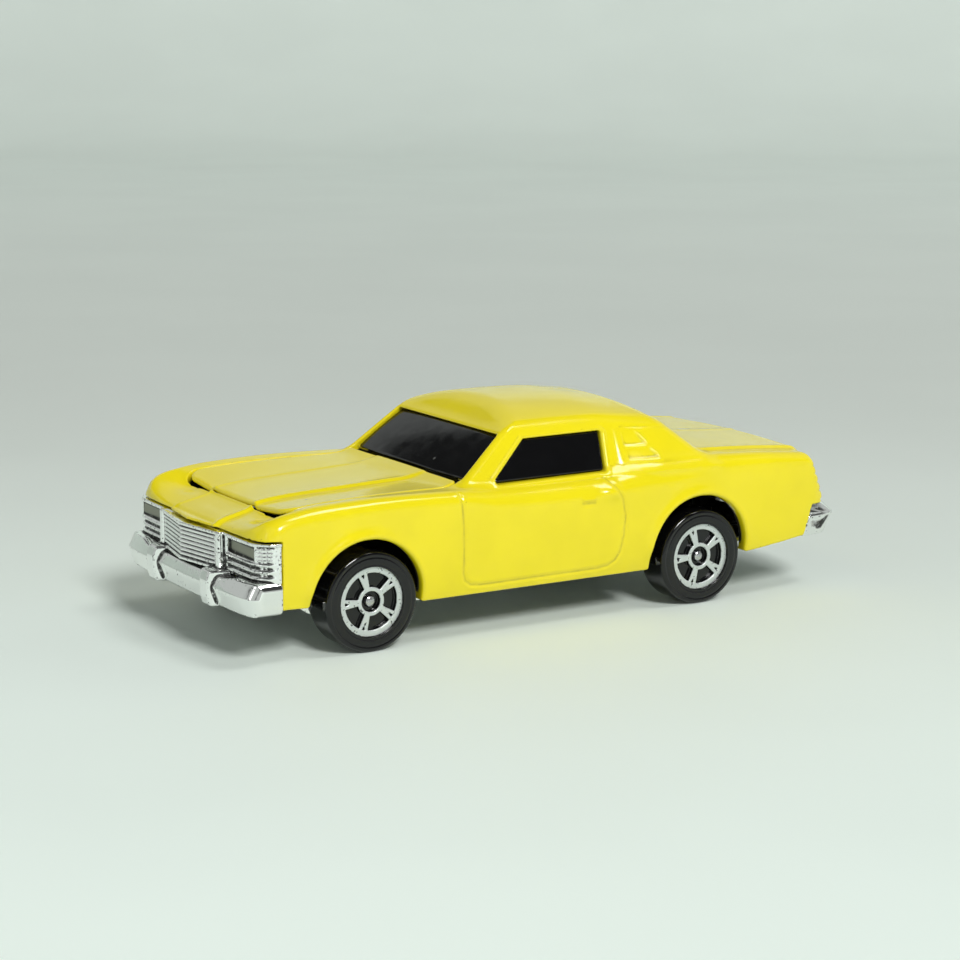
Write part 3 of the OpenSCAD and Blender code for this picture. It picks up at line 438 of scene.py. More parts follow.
def flank_relief(x, z):
    """Arch flares, door line, door handle and the swelling above the rear wheel."""
    arch = arch_distance(x, z)
    ahead = np.where(x > 3, x - FRONT_X, x - REAR_X)
    flare = (0.1 + 0.22 * step_up(ahead, -3, 3)) * ridge(arch - 0.35, 0.6) * step_up(z, 5.4, 7.2)
    door = line_distance(DOOR_LINE, x, z)
    groove = 0.09 * ridge(door, 0.17)
    lip = 0.04 * ridge(door - 0.42, 0.22)
    along = np.abs(x - HANDLE_X)
    handle = 0.13 * ridge(np.maximum(along - 0.6, 0), 0.2) * ridge(z - 13.1, 0.2)
    dish = 0.08 * ridge(np.maximum(along - 0.75, 0), 0.3) * ridge(z - 12.75, 0.3)
    hip = 0.4 * ridge(x + 5.6, 1.1) * ridge(z - 13.7, 0.9)
    swell = 0.08 * step_up(x, -7.5, -9.0) * step_up(-x, 8, 9.5) * ridge(z - 13.2, 2.2)
    return flare - groove + lip + handle - dish + hip + swell


def lower_field(x, y, z, detailed):
    """The lower body without its hollow, from the tail panel to the header."""
    half = smooth_curve(WIDTH, x)
    side = half - smooth_curve(FLANK_TUCK, z)
    if detailed:
        side = side + flank_relief(x, z)
    flank = (y - side) / grade(half, x, 0)
    top = deck(x, y)
    body = meet(flank, (z - top) / grade(top, x, 0), smooth_curve(SHOULDER, x))
    body = meet(body, x - HEADER_X - 0.9 * peak(y), 0.25)
    tail_rise = TAIL_TOP_Z - TAIL_FOOT_Z
    bowed = x - STERN_X - 0.6 * (y / 13.6) ** 2
    tail = (-bowed * tail_rise + (z - TAIL_FOOT_Z) * TAIL_RAKE) / math.hypot(TAIL_RAKE, tail_rise)
    if detailed:
        turn = np.clip(z - TAIL_FOOT_Z - 0.35, 0, 4) % 1
        rib = 1 - np.sqrt(np.maximum(1 - (2 * turn - 1) ** 2, 0))
        tail = tail + 0.34 * rib * (z < 13.85)
    return meet(body, tail, 0.9)


def cabin_relief(x, z):
    """Window frame, pillar bars, louvres, roof seam and belt line on the cabin's side."""
    rim = 0.11 * ridge(outline(SIDE_WINDOW, x, z, PANE_ROUND) - 0.3, 0.19)
    within = step_up(z, 15.9, 16.3) * (1 - step_up(z, 19.6, 19.8))
    bars = 0.06 * (ridge(x + 7.0, 0.26) + ridge(x + 8.35, 0.26)) * within
    louvre = 0.0
    for row in LOUVRES:
        top = row[0][1] + LOUVRE_ROUND
        drop = row[0][1] - row[2][1] + 2 * LOUVRE_ROUND
        depth = 0.05 + 0.12 * np.clip((top - z) / drop, 0, 1)
        louvre = louvre + depth * (1 - step_up(outline(row, x, z, LOUVRE_ROUND), -0.14, 0.1))
    drift = (x + 9.3) * 0.054
    seam = 0.1 * ridge(z - 19.82 - drift, 0.13)
    seam = seam * step_up(-x, 8.4, 9.2) * step_up(x, -16.6, -16)
    belt = 0.08 * ridge(z - 16.05, 0.15) * step_up(-x, 7.2, 8.0)
    return rim + bars - louvre - seam - belt


def cabin_field(x, y, z, detailed, foot=14.2):
    """The cabin without its hollow: screen, sides, rear window and crowned roof, down to a foot."""
    screen_run = COWL_X - ROOF_X
    rear_run = ROOF_END_X - CABIN_END_X
    half = smooth_curve(CABIN_HALF, x)
    lean = (half - ROOF_Y) / RISE
    side = half - lean * np.maximum(z - FOOT_Z, 0) - 0.8 * np.maximum(FOOT_Z - z, 0)
    front = ((x - SCREEN_X) * RISE + (z - FOOT_Z) * screen_run) / math.hypot(RISE, screen_run)
    bowed = x - CABIN_END_X - 0.45 * (y / 11.8) ** 2
    rear = (-bowed * RISE + (z - FOOT_Z) * rear_run) / math.hypot(RISE, rear_run)
    if detailed:
        side = side + cabin_relief(x, z)
        front = front - 0.08 * ridge(outline(SCREEN, y, z, PANE_ROUND) - 0.28, 0.22)
        rear = rear - 0.08 * ridge(outline(REAR_PLAN, x, y, REAR_ROUND) - 0.3, 0.25)
    flank = (y - side) / np.hypot(1, lean)
    crown = smooth_curve(ROOF_EDGE, x) + smooth_curve(ROOF_CROWN, x) * (1 - np.abs(y / ROOF_Y) ** 2.4)
    walls = meet(meet(front, flank, 0.45), meet(rear, flank, 0.7))
    return np.maximum(meet(walls, z - crown, 0.75), foot - z)


def bonnet_plan(x, y, gap, corner):
    """Distance from the bonnet's outline seen from above, grown by a gap."""
    half = 11.5 + 0.4 * (x - COWL_X) / (BONNET_X - COWL_X) + gap
    ends = meet(np.abs(y) - half, x - BONNET_X - gap, corner)
    return meet(ends, COWL_X - gap - x, 0.5)


def window_fields(x, y, z):
    """Distances from the window openings: sides, screen and rear."""
    side = outline(SIDE_WINDOW, x, z, PANE_ROUND)
    screen = np.maximum(outline(SCREEN, y, z, PANE_ROUND), ROOF_X - 0.45 - x)
    rear = np.maximum(outline(REAR_PLAN, x, y, REAR_ROUND), 16.55 - z)
    return side, screen, rear


def bumper_end(x, z):
    """Distance ahead of the slanted line where the rear bumper's wrapped ends stop."""
    return x + 32.15 + 0.27 * (z - 6.7)


def body_fields(x, y, z):
    """The casting, and how deep each point lies under its outer skin."""
    skin = join(lower_field(x, y, z, True), cabin_field(x, y, z, True), 0.9)
    skin = meet(skin, smooth_curve(LOWER, x) - z, 0.2)
    wheel_arch = arch_distance(x, z)
    wall = 1.2 + 0.4 * (1 - step_up(wheel_arch, 0.2, 1.4))
    hollow = np.minimum(lower_field(x, y, z, False) + wall, cabin_field(x, y, z, False, HOLLOW_Z) + 0.85)
    body = without(skin, np.maximum(hollow, STERN_X + 3.2 - x))
    for window in window_fields(x, y, z):
        body = cut(body, window, 0.14)
    body = cut(body, np.maximum(bonnet_plan(x, y, 0.2, 1.6), BAY_Z - z), 0.16)
    body = without(body, np.maximum(FLANK_X - x, z - 12.55))
    lug = box_field(x, y, z, (HINGE_X - 1.3, 11.78, HINGE_Z - 0.8), (HINGE_X + 1.3, 12.88, 14.9))
    body = np.minimum(body, lug)
    for post_x, foot in POSTS:
        post = np.hypot(x - post_x, y) - 1.1
        body = np.minimum(body, both(post, z - 13.2, foot + PLATE_THICK - z))
    body = cut(body, np.maximum(wheel_arch, CHEEK_Y - y), 0.4)
    slot = np.hypot(x - HINGE_X, np.maximum(z - HINGE_Z, 0)) - 0.63
    slot = np.maximum(slot, np.abs(y - 12.33) - 0.7)
    swing = box_field(x, y, z, (HINGE_X - 2.19, PAST_MIDDLE_Y, BAY_Z), (HINGE_X + 1, 11.65, 15.99))
    cowl = box_field(x, y, z, (9.17, PAST_MIDDLE_Y, BAY_Z), (12.1, 9.72, 16.04))
    notch = np.maximum(bumper_end(x, z), z - TAIL_FOOT_Z)
    plate = box_field(x, y, z, (BUMPER_X - 1, PAST_MIDDLE_Y, 0.0), (BUMPER_X + 1, 12.7, 7.25))
    return without(body, slot, swing, cowl, notch, plate), -skin


def bonnet_field(x, y, z):
    """The bonnet panel with a raised rear lip, a pressed underside, two ears and two hinge pins."""
    sharpness = 6
    lip = 15.98 - 0.45 * (x - COWL_X)
    top = np.logaddexp(sharpness * deck(x, y, False), sharpness * lip) / sharpness
    plan = bonnet_plan(x, y, 0.0, 2.1)
    thick = 1.1 - 0.6 * step_up(plan, -1.3, -0.5) * step_up(x, 20, 26)
    panel = meet(plan, (z - top) / grade(top, x, 0), 0.22)
    panel = np.maximum(panel, top - thick - z)
    ribs = np.minimum(np.abs(y) - 0.5, np.abs(np.abs(y) - 5.6) - 0.4)
    panel = without(panel, both(plan + 1.5, z - top + 0.7, -ribs))
    ear = rod_field(x - HINGE_X, z - HINGE_Z, y, 0.8, 10.15, 11.35, 0.1)
    pin = rod_field(x - HINGE_X, z - HINGE_Z, y, PIN_RADIUS, 10.2, PIN_END_Y, 0.12)
    return either(panel, ear, pin)


def glazing_field(x, y, z):
    """The black window moulding: an inner shell, panes that fill the openings, and a firewall."""
    cabin = cabin_field(x, y, z, False, HOLLOW_Z)
    side, screen, rear = window_fields(x, y, z)
    openings = either(side, screen, rear) + 0.1
    ahead = x > 8.2
    shell = np.maximum(cabin + 0.97, np.where(ahead, 15.5, GLASS_Z) - z)
    bow = 0.4 - 0.25 * (y / 11.2) ** 2 - 0.15 * ((z - 17.85) / 2.25) ** 2
    sunk = 0.3 + (0.15 - np.clip(bow, 0, 0.4)) * (screen < 0.35)
    panes = meet(cabin + sunk, openings, 0.1)
    panes = np.maximum(panes, np.where(ahead, 15.45, GLASS_Z) - z)
    solid = without(np.minimum(shell, panes), np.maximum(cabin + 1.87, GLASS_Z - z))
    solid = np.maximum(solid, x - 10.64)
    back, front = 9.29, 10.19
    low, high = 12.49, 13.38
    wall = box_field(x, y, z, (back, PAST_MIDDLE_Y, 9.0), (front, 9.6, 16.09))
    keeper = box_field(x, y, z, (back, PAST_MIDDLE_Y, low), (front, PIN_END_Y, high))
    arm = box_field(x, y, z, (10.1, 11.98, low), (12.92, PIN_END_Y, high))
    return either(solid, wall, keeper, arm)


def two_facets(bar, rise, above, below, edge):
    """A bar whose face slopes back above and below a ridge."""
    upper = (bar + rise * above) / math.hypot(1, above)
    lower = (bar - rise * below) / math.hypot(1, below)
    return meet(upper, lower, edge)


def grille_field(x, y, z):
    """The plated grille: fine bars in a frame that comes to a shallow V, and its end posts."""
    pitch = 3.55 / 8
    vee = 0.5 + 1.15 * peak(y)
    bars = 0.2 * np.abs(np.cos((z - 8.65) / pitch * math.pi)) ** 0.7
    grille = both(x - GRILLE_X - vee + 0.28 - bars, y - 6.12, 8.6 - z, z - 12.15)
    rails = np.minimum(np.abs(z - 12.2) - 0.16, np.abs(z - 8.62) - 0.14)
    surround = both(x - GRILLE_X - vee, y - 7.0, rails)
    post = np.maximum(np.abs(y - 6.75) - 0.42, np.abs(z - 10.4) - 2.0)
    return either(grille, surround, meet(post, x - GRILLE_X - 0.62, 0.22))


def front_bumper_field(x, y, z, back):
    """The front bumper with its guards, and the web and stays that carry it."""
    nose = smooth_curve(NOSE_BAR, y)
    bar = two_facets((x - nose) / grade(nose, y, 1), z - 7.05, 0.5, 0.32, 0.12)
    crown = 8.15 + 0.4 * step_up(y, 8.4, 11.5)
    bar = meet(bar, np.maximum(z - crown, 5.15 - z), 0.16)
    bar = meet(meet(bar, y - 15.2, 0.9), back, 0.05)
    rise = np.abs(z - 6.85)
    guard = x - 37.98 + 0.3 * np.maximum(rise - 0.8, 0)
    guard = meet(np.abs(y - 6.5) - 1.45 + 0.4 * (x - 36.5), guard, 0.2)
    inner = 35.6
    guard = meet(guard, np.maximum(rise - 1.85, inner - x), 0.25)
    web_top = NOSE_PLATE_Z + PLATE_THICK
    web = box_field(x, y, z, (34.3, PAST_MIDDLE_Y, NOSE_PLATE_Z), (inner, 12.5, web_top))
    stay = box_field(x, y, z, (34.6, 3.0, 6.3), (inner, 7.0, 11.4))
    return either(join(bar, guard, 0.12), web, stay)


def front_fields(x, y, z):
    """The plated front: lamps, side ribs, grille and bumper; and a mask of the lamp faces."""
    face = smooth_curve(FASCIA, y)
    front = (x - face) / grade(face, y, 1)
    upper = step_up(z, 10.5, 10.65)
    fade = 1 - step_up(y, 14.5, 14.9)
    ribs = 0.12 * np.cos((z - 8.85) * 2 * math.pi / 0.7) * step_up(y, 7.6, 7.9) * (1 - upper) * fade
    hatch_area = step_up(y, 13.6, 13.75) * upper * (1 - step_up(z, 11.9, 12.05)) * fade
    hatch = 0.1 * hatch_area * np.sin((z + y) * 8.4) * np.sin((z - y) * 8.4)
    lamp = np.maximum(np.abs(y - 10.65) - 2.75, np.abs(z - 11.3) - 0.68)
    bezel = 0.2 * ridge(lamp - 0.2, 0.2) * (1 - step_up(lamp, 0.3, 0.6))
    fascia = both(front - ribs - hatch - bezel + 0.06, y - 15.1, 8.4 - z, z - 12.4)
    lip = np.maximum(front - 0.12, np.abs(z - 12.27) - 0.14)
    fascia = either(fascia, lip, grille_field(x, y, z))
    fascia = cut(fascia, np.maximum(lamp, 35.5 - x), 0.05)
    back = np.where(y > 14.1, FLANK_X + 0.15 - x, 34.8 - x)
    # Mask of the lamp faces, which get a duller finish and a painted reflection.
    lens = step_up(0.05 - np.maximum(lamp, x - 35.62), 0.0, 0.1)
    return np.minimum(np.maximum(fascia, back), front_bumper_field(x, y, z, back)), lens


def tail_field(x, y, z):
    """The plated rear bumper with its ridge and wrapped ends."""
    rear = smooth_curve(TAIL_BAR, y)
    bar = two_facets((rear - x) / grade(rear, y, 1), z - 8.15, 1.14, 0.43, 0.14)
    bar = meet(bar, np.maximum(z - 9.4, 5.83 - z), 0.15)
    bar = both(bar, bumper_end(x, z) + 0.05, y - 14.8)
    seam = 0.12 * ridge(z - 8.2, 0.16)
    return bar + seam * step_up(y, 14.2, 14.5)


def plate_height(x):
    """Underside of the base, which steps up at the nose and the tail."""
    rise = (TAIL_PLATE_Z - PLATE_Z) * (1 - step_up(x, -25.2, -22.2))
    return PLATE_Z + rise + (NOSE_PLATE_Z - PLATE_Z) * step_up(x, 28.5, 31.5)


def engine_field(x, y, z):
    """The engine relief on the base, with its air cleaner and radiator."""
    ahead = x - FRONT_X + 1
    block = box_field(ahead, y, z, (-5.5, -3.0, RELIEF_Z), (5.5, 3.0, 7.1), 0.15)
    fins = 0.12 * np.cos(ahead * 2 * math.pi / 1.25)
    heads = box_field(ahead, y, z, (-5.0, 2.3, RELIEF_Z), (5.0, 4.1, 7.75), 0.3)
    heads = heads + 0.06 - fins * step_up(z, 7.1, 7.4)
    cleaner = rod_field(ahead, y, z, 2.5, RELIEF_Z, 8.6, 0.3)
    nut = rod_field(ahead, y, z, 0.5, RELIEF_Z, 8.75, 0.15)
    radiator = box_field(ahead, y, z, (7.0, -4.5, RELIEF_Z), (7.9, 4.5, 8.6), 0.1)
    return either(block, heads, cleaner, nut, radiator + 0.05 * np.cos(y * 9.0))


def base_field(x, y, z):
    """The plated base with bearing cheeks, inner walls, an engine relief and a pressed underside."""
    under = plate_height(x)
    plan = both(y - 12.55, -34.0 - x, x - 35.0)
    sunk = outline([(-11.0, -8.6), (12.0, -8.6), (12.0, 8.6), (-11.0, 8.6)], x, y, 0.8)
    tunnel = np.abs(y) - 1.3
    relief = 0.35 * (1 - step_up(sunk, -0.3, 0.1)) * step_up(tunnel, 0.0, 0.5)
    rows = 0.15 * ridge((np.abs(x) % 3.0) - 1.5, 0.35)
    rows = rows * (1 - step_up(sunk, -1.2, -0.8)) * step_up(tunnel, 0.6, 1.0)
    for axle in (FRONT_X, REAR_X):
        plan = without(plan, np.maximum(np.abs(x - axle) - 5.8, CHEEK_Y - y))
    base = both(plan, under + relief - rows - z, z - under - PLATE_THICK)
    for axle in (FRONT_X, REAR_X):
        cheek = box_field(x, y, z, (axle - 1.6, CHEEK_Y - 1.6, RELIEF_Z), (axle + 1.6, CHEEK_Y, 6.3), 0.1)
        base = np.minimum(base, cheek)
    near, far = CHEEK_Y - 1.4, CHEEK_Y - 0.6
    wall = box_field(x, y, z, (REAR_X - 5.2, near, RELIEF_Z), (REAR_X + 5.2, far, 9.58), 0.15)
    skirt = box_field(x, y, z, (-27.2, near, 4.7), (REAR_X - 5.0, far, 7.6), 0.12)
    base = either(base, skirt, engine_field(x, y, z), wall)
    for axle in (FRONT_X, REAR_X):
        base = without(base, np.hypot(x - axle, np.minimum(z - AXLE_Z, 0)) - 0.62)
    for post_x, foot in POSTS:
        well = np.where(z < foot + 0.6, 1.3, np.where(z < foot + PLATE_THICK, 0.8, 1.2))
        base = np.maximum(base, well - np.hypot(x - post_x, y))
        base = np.minimum(base, rod_field(x - post_x, y, z, 1.15, foot - 0.05, foot + 1.3, 0.2))
    return base


def spoke_field(x, z, r):
    """Distance from the forked spokes, the rim ring and the hub ring of a wheel's face."""
    pitch = 2 * math.pi / SPOKES
    local = (np.arctan2(z, x) + pitch / 2) % pitch - pitch / 2
    across = np.abs(r * np.sin(local))
    along = r * np.cos(local)
    fork = np.maximum(across - 0.36 * (along - 2.5), 2.5 - along)
    half = 0.32 + 0.13 * (along - 1.5)
    spoke = both(across - half, -fork, np.abs(r - 2.3) - 1.0)
    return either(spoke, np.abs(r - 3.28) - 0.3, np.abs(r - 1.28) - 0.22)


def wheel_fields(x, y, z):
    """A wheel with its outer face at y = 0, and a mask of the silver foil."""
    r = np.hypot(x, z)
    wheel = meet(r - WHEEL_RADIUS, np.maximum(y, -WHEEL_WIDTH - y), 0.42)
    wheel = wheel + (0.07 * ridge(r - 4.62, 0.1) + 0.05 * ridge(r - 3.85, 0.12))
    wheel = cut(wheel, np.maximum(r - 3.72 + 0.5 * (y + 0.3), -0.3 - y), 0.08)
    raised = spoke_field(x, z, r)
    wheel = cut(wheel, both(-raised, r - 3.45, -0.85 - y), 0.06)
    wheel = cut(wheel, np.maximum(r - 1.06, -0.9 - y), 0.06)
    wheel = without(wheel, both(r - 4.2, y + 2.1, 1.6 - r))
    wheel = np.maximum(wheel, WIRE_RADIUS - r)
    foil = (1 - step_up(raised, -0.03, 0.05)) * step_up(y, -0.48, -0.4) * (1 - step_up(r, 3.58, 3.64))
    return wheel, foil


class Nodes:
    """A node tree, built step by step."""

    def __init__(self, tree):
        self.tree = tree

    def add(self, kind, inputs=None, **settings):
        """One node with its settings, and its inputs set or linked."""
        made = self.tree.nodes.new(kind)
        for key, value in settings.items():
            setattr(made, key, value)
        for key, value in (inputs or {}).items():
            self.put(made.inputs[key], value)
        return made

    def put(self, socket, value):
        """Sets a socket, or links it to another."""
        if isinstance(value, bpy.types.NodeSocket):
            self.tree.links.new(value, socket)
        else:
            socket.default_value = value

    def along(self, vector, axis):
        """How far a vector reaches along an axis."""
        made = self.add("ShaderNodeVectorMath", {0: vector, 1: axis}, operation="DOT_PRODUCT")
        return made.outputs["Value"]

    def math(self, operation, a, b):
        """One operation on two values."""
        return self.add("ShaderNodeMath", {0: a, 1: b}, operation=operation).outputs[0]

    def times(self, a, b):
        """The product of two values."""
        return self.math("MULTIPLY", a, b)

    def most(self, a, b):
        """The larger of two values."""
        return self.math("MAXIMUM", a, b)

    def ramp(self, value, low, high, start=0.0, end=1.0):
        """A smooth change from start to end as a value goes from low to high."""
        inputs = {"Value": value, "From Min": low, "From Max": high, "To Min": start, "To Max": end}
        return self.add("ShaderNodeMapRange", inputs, interpolation_type="SMOOTHSTEP").outputs["Result"]


class Finish(Nodes):
    """A material's node tree round its shader."""

    def __init__(self, name):
        self.material = bpy.data.materials.new(name)
        self.material.use_nodes = True
        super().__init__(self.material.node_tree)
        self.shader = self.tree.nodes["Principled BSDF"]
        self.place = self.add("ShaderNodeTexCoord").outputs["Object"]

    def set(self, **values):
        """Sets or links the shader's own sockets, named with _ for a space."""
        for key, value in values.items():
            self.put(self.shader.inputs[key.replace("_", " ")], value)

    def linked(self, name):
        """What a socket of the shader is linked to."""
        return self.shader.inputs[name].links[0].from_socket

    def noise(self, size, detail=3.0, rough=0.5):
        """Noise whose features are about that many millimetres wide."""
        inputs = {"Vector": self.place, "Scale": 1 / (size * MM), "Detail": detail, "Roughness": rough}
        return self.add("ShaderNodeTexNoise", inputs).outputs["Fac"]

    def specks(self, size, share):
        """Small round spots, scattered at that share of the cells."""
        cells = self.add("ShaderNodeTexVoronoi", {"Vector": self.place, "Scale": 1 / (size * MM)})
        first = self.add("ShaderNodeSeparateColor", {"Color": cells.outputs["Color"]}).outputs[0]
        chosen = self.math("LESS_THAN", first, share)
        return self.times(chosen, self.ramp(cells.outputs["Distance"], 0.12, 0.3, 1.0, 0.0))

    def mask(self, name):
        """A number kept on the mesh."""
        return self.add("ShaderNodeAttribute", attribute_name=name).outputs["Fac"]

    def blend(self, factor, a, b):
        """Two colours mixed by a factor."""
        made = self.add("ShaderNodeMix", data_type="RGBA")
        for key, value in ((0, factor), (6, a), (7, b)):
            self.put(made.inputs[key], value)
        return made.outputs[2]

    def bump(self, height, depth):
        """A bumped normal whose relief is about that many millimetres deep."""
        inputs = {"Height": height, "Distance": depth * MM, "Strength": 1.0}
        return self.add("ShaderNodeBump", inputs).outputs["Normal"]


def colour(values, share=1.0):
    """A colour with full cover, at a share of its brightness."""
    return (*(v * share for v in values[:3]), 1.0)


def enamel(colours):
    """Glossy enamel with faint waves, painted shade and grime in the grooves, a few chips, and a near-black
    inside that is painted shade.
    """
    finish = Finish("enamel")
    waves = finish.ramp(finish.noise(6.0, 2.0), 0.35, 0.65)
    tone = finish.blend(waves, colour(colours.paint), colour(colours.paint, 0.96))
    # Painted shade with some grime: concave grooves are darkened towards a darker yellow, broken up by
    # noise.
    groove = finish.ramp(finish.mask("convexity"), -0.6, -0.15, 0.45, 0.0)
    groove_shade_and_grime = finish.times(groove, finish.ramp(finish.noise(1.6), 0.35, 0.65, 0.5, 1.0))
    tone = finish.blend(groove_shade_and_grime, tone, colour(colours.groove_shade_and_grime))
    edge = finish.ramp(finish.mask("convexity"), 0.35, 0.7)
    chip = finish.times(edge, finish.ramp(finish.noise(0.4, 2.0), 0.72, 0.75))
    spots = finish.most(finish.times(chip, 0.85), finish.specks(0.75, 0.002))
    tone = finish.blend(spots, tone, CHIP_COLOUR)
    # Painted shade: the inside of the casting, deep under its skin, is coloured near-black and made rough.
    inside = finish.ramp(finish.mask("depth"), 0.75, 1.05)
    tone = finish.blend(inside, tone, colour(colours.casting))
    rough = finish.ramp(finish.noise(3.0), 0.3, 0.7, 0.13, 0.2)
    rough = finish.most(rough, finish.times(inside, 0.6))
    finish.set(Base_Color=tone, Roughness=rough, Normal=finish.bump(finish.noise(1.3, 2.0), 0.006))
    finish.set(IOR=1.5, Coat_Weight=0.12, Coat_Roughness=0.06)
    return finish.material


def plating(colours):
    """Bright plating with pits, worn edges, painted shade and dirt in the grooves, painted shade on its
    downward faces, and duller lamp faces whose grey is painted reflection.
    """
    finish = Finish("bright_plating")
    bend = finish.mask("convexity")
    patch = finish.noise(2.6, 4.0, 0.6)
    grain = finish.noise(0.3, 4.0, 0.65)
    worn = finish.times(finish.ramp(bend, 0.6, 0.95), finish.ramp(grain, 0.56, 0.64))
    pits = finish.times(finish.ramp(patch, 0.53, 0.66), finish.ramp(grain, 0.58, 0.64))
    # Painted shade with some dirt: concave grooves are darkened, broken up by grain.
    groove_shade_and_dirt = finish.times(finish.ramp(bend, -0.7, -0.2, 1.0, 0.0), finish.ramp(grain, 0.2, 0.5))
    dark = finish.most(finish.most(worn, pits), groove_shade_and_dirt)
    # Lamp faces get a duller, less metallic finish and a grey colour; the grey is painted reflection of the
    # backdrop.
    lens = finish.mask("lens")
    tone = finish.blend(lens, colour(colours.plating), colour(colours.lens))
    # Painted shade: faces that look down are darkened and made rougher.
    facing = finish.along(finish.add("ShaderNodeNewGeometry").outputs["Normal"], (0.0, 0.0, 1.0))
    underside_shade = finish.ramp(facing, -0.95, -0.6, 0.7, 0.0)
    tone = finish.blend(underside_shade, tone, colour(colours.underside_shade_colour))
    tone = finish.blend(dark, tone, colour(colours.wear_and_shade))
    rough = finish.ramp(finish.noise(1.1), 0.3, 0.7, 0.05, 0.13)
    rough = finish.most(rough, finish.times(finish.most(lens, underside_shade), 0.32))
    rough = finish.most(rough, finish.times(dark, 0.55))
    metallic = finish.ramp(finish.most(dark, lens), 0.0, 1.0, 1.0, 0.25)
    finish.set(Base_Color=tone, Roughness=rough, Metallic=metallic)
    finish.set(Normal=finish.bump(finish.noise(0.9, 2.0), 0.012))
    return finish.material


def gloss_black(name, tone, dust):
    """Black plastic with a faint haze, waves and dust, as a finish that can be added to."""
    finish = Finish(name)
    specks = finish.specks(1.4, dust)
    haze = finish.ramp(finish.noise(4.0), 0.35, 0.75, 0.0, 0.25)
    base = finish.blend(haze, colour(tone), colour(tone, 1.8))
    base = finish.blend(specks, base, DUST_COLOUR)
    rough = finish.ramp(finish.noise(1.5), 0.3, 0.7, 0.07, 0.15)
    rough = finish.most(rough, finish.times(specks, 0.6))
    finish.set(Base_Color=base, Roughness=rough, Normal=finish.bump(finish.noise(2.0, 2.0), 0.006), IOR=1.49)
    return finish


def wheel_finish(colours):
    """Black wheel plastic with silver foil on the raised parts of its face."""
    finish = gloss_black("wheel_plastic", colours.plastic, 0.02)
    rubbed = finish.ramp(finish.noise(0.35, 4.0, 0.6), 0.3, 0.4)
    foil = finish.times(finish.ramp(finish.mask("foil"), 0.35, 0.65), rubbed)
    rough = finish.most(finish.times(foil, 0.36), finish.linked("Roughness"))
    finish.set(Base_Color=finish.blend(foil, finish.linked("Base Color"), colour(colours.foil)))
    finish.set(Metallic=finish.times(foil, 0.55), Roughness=rough)
    return finish.material


def axle_steel(colours):
    """Drawn steel wire, streaked along its length."""
    finish = Finish("axle_steel")
    stretch = finish.add("ShaderNodeMapping", {"Vector": finish.place, "Scale": (1.0, 0.05, 1.0)})
    inputs = {"Vector": stretch.outputs["Vector"], "Scale": 1 / (0.2 * MM), "Detail": 3.0}
    streak = finish.add("ShaderNodeTexNoise", inputs).outputs["Fac"]
    tone = finish.blend(streak, colour(colours.steel), colour(colours.steel, 0.7))
    finish.set(Base_Color=tone, Metallic=1.0, Roughness=finish.ramp(streak, 0.3, 0.7, 0.22, 0.34))
    return finish.material


def dress(obj, body, slot, material, *nodes):
    """Puts a piece on its body in place of CAD nodes, with its material. The slot is not used."""
    obj.data.materials.clear()
    obj.data.materials.append(material)
    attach(obj, body)
    if nodes:
        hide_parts(*nodes)


def named_material(name, make, *settings):
    """A material that several pieces share, made once."""
    return bpy.data.materials.get(name) or make(*settings)


def length_property(name, description, default, low, high):
    """A length that a user may change."""
    return bpy.props.FloatProperty(
        name=name, description=description, default=default, min=low, max=high, precision=6, unit="LENGTH")


class ToyCarSizes(bpy.types.PropertyGroup):
    """Sizes a user would change."""

    casting_step: length_property(
        "Casting fineness", "Spacing of the lattice that the casting is meshed on",
        0.11 * MM, 0.05 * MM, 0.4 * MM)
    trim_step: length_property(
        "Trim fineness", "Spacing of the lattice for plated trim and wheels",
        0.075 * MM, 0.04 * MM, 0.3 * MM)
    base_step: length_property(
        "Base fineness", "Spacing of the lattice for the base and the glazing",
        0.14 * MM, 0.06 * MM, 0.4 * MM)
    floor_reach: length_property(
        "Floor reach", "How far the floor runs from the car before it curves up", 0.75, 0.3, 3.0)


def colour_property(name, description, default):
    """A colour that a user may change."""
    return bpy.props.FloatVectorProperty(
        name=name, description=description, default=default, subtype="COLOR", min=0.0, max=1.0)


class ToyCarColours(bpy.types.PropertyGroup):
    """Colours a user would change."""

    paint: colour_property("Paint", "Enamel of the casting and the bonnet", (0.865, 0.72, 0.01))
    # Darker yellow of the painted shade and grime in the grooves of the casting.
    groove_shade_and_grime: colour_property("Grime", "Dirt in the grooves of the casting", (0.3, 0.24, 0.02))
    # Near-black colour of the painted shade inside the casting.
    casting: colour_property("Inside", "Unlit inside of the casting", (0.012, 0.011, 0.009))
    plating: colour_property("Plating", "Bright plating of base and bumpers", (0.92, 0.93, 0.91))
    # Near-black of worn plating and pits, and of the painted shade and dirt in the grooves.
    wear_and_shade: colour_property("Plating wear", "Where the plating is worn or dirty", (0.018, 0.018, 0.016))
    # Colour of the painted shade on the downward faces of the plating.
    underside_shade_colour: colour_property("Underside", "Soiled plating under the base", (0.16, 0.16, 0.15))
    # Grey of the lamp faces, a painted reflection.
    lens: colour_property("Lamp faces", "Duller faces of the lamps", (0.22, 0.225, 0.165))
    glazing: colour_property("Glazing", "Black plastic of the windows", (0.0035, 0.0035, 0.004))
    plastic: colour_property("Wheels", "Black plastic of the wheels", (0.003, 0.003, 0.0033))
    foil: colour_property("Foil", "Silver foil on the wheels", (0.64, 0.68, 0.66))
    steel: colour_property("Axles", "Steel of the axles", (0.62, 0.62, 0.63))
    # Tones of the paper along its depth, painted light that stands in for the fall of light across it.
    floor: colour_property("Floor", "Floor near the camera", (0.9, 1.0, 0.93))
    horizon: colour_property("Horizon", "Floor behind the car", (0.635, 0.68, 0.635))
    backdrop: colour_property("Backdrop", "Backdrop above the car", (0.72, 0.79, 0.735))


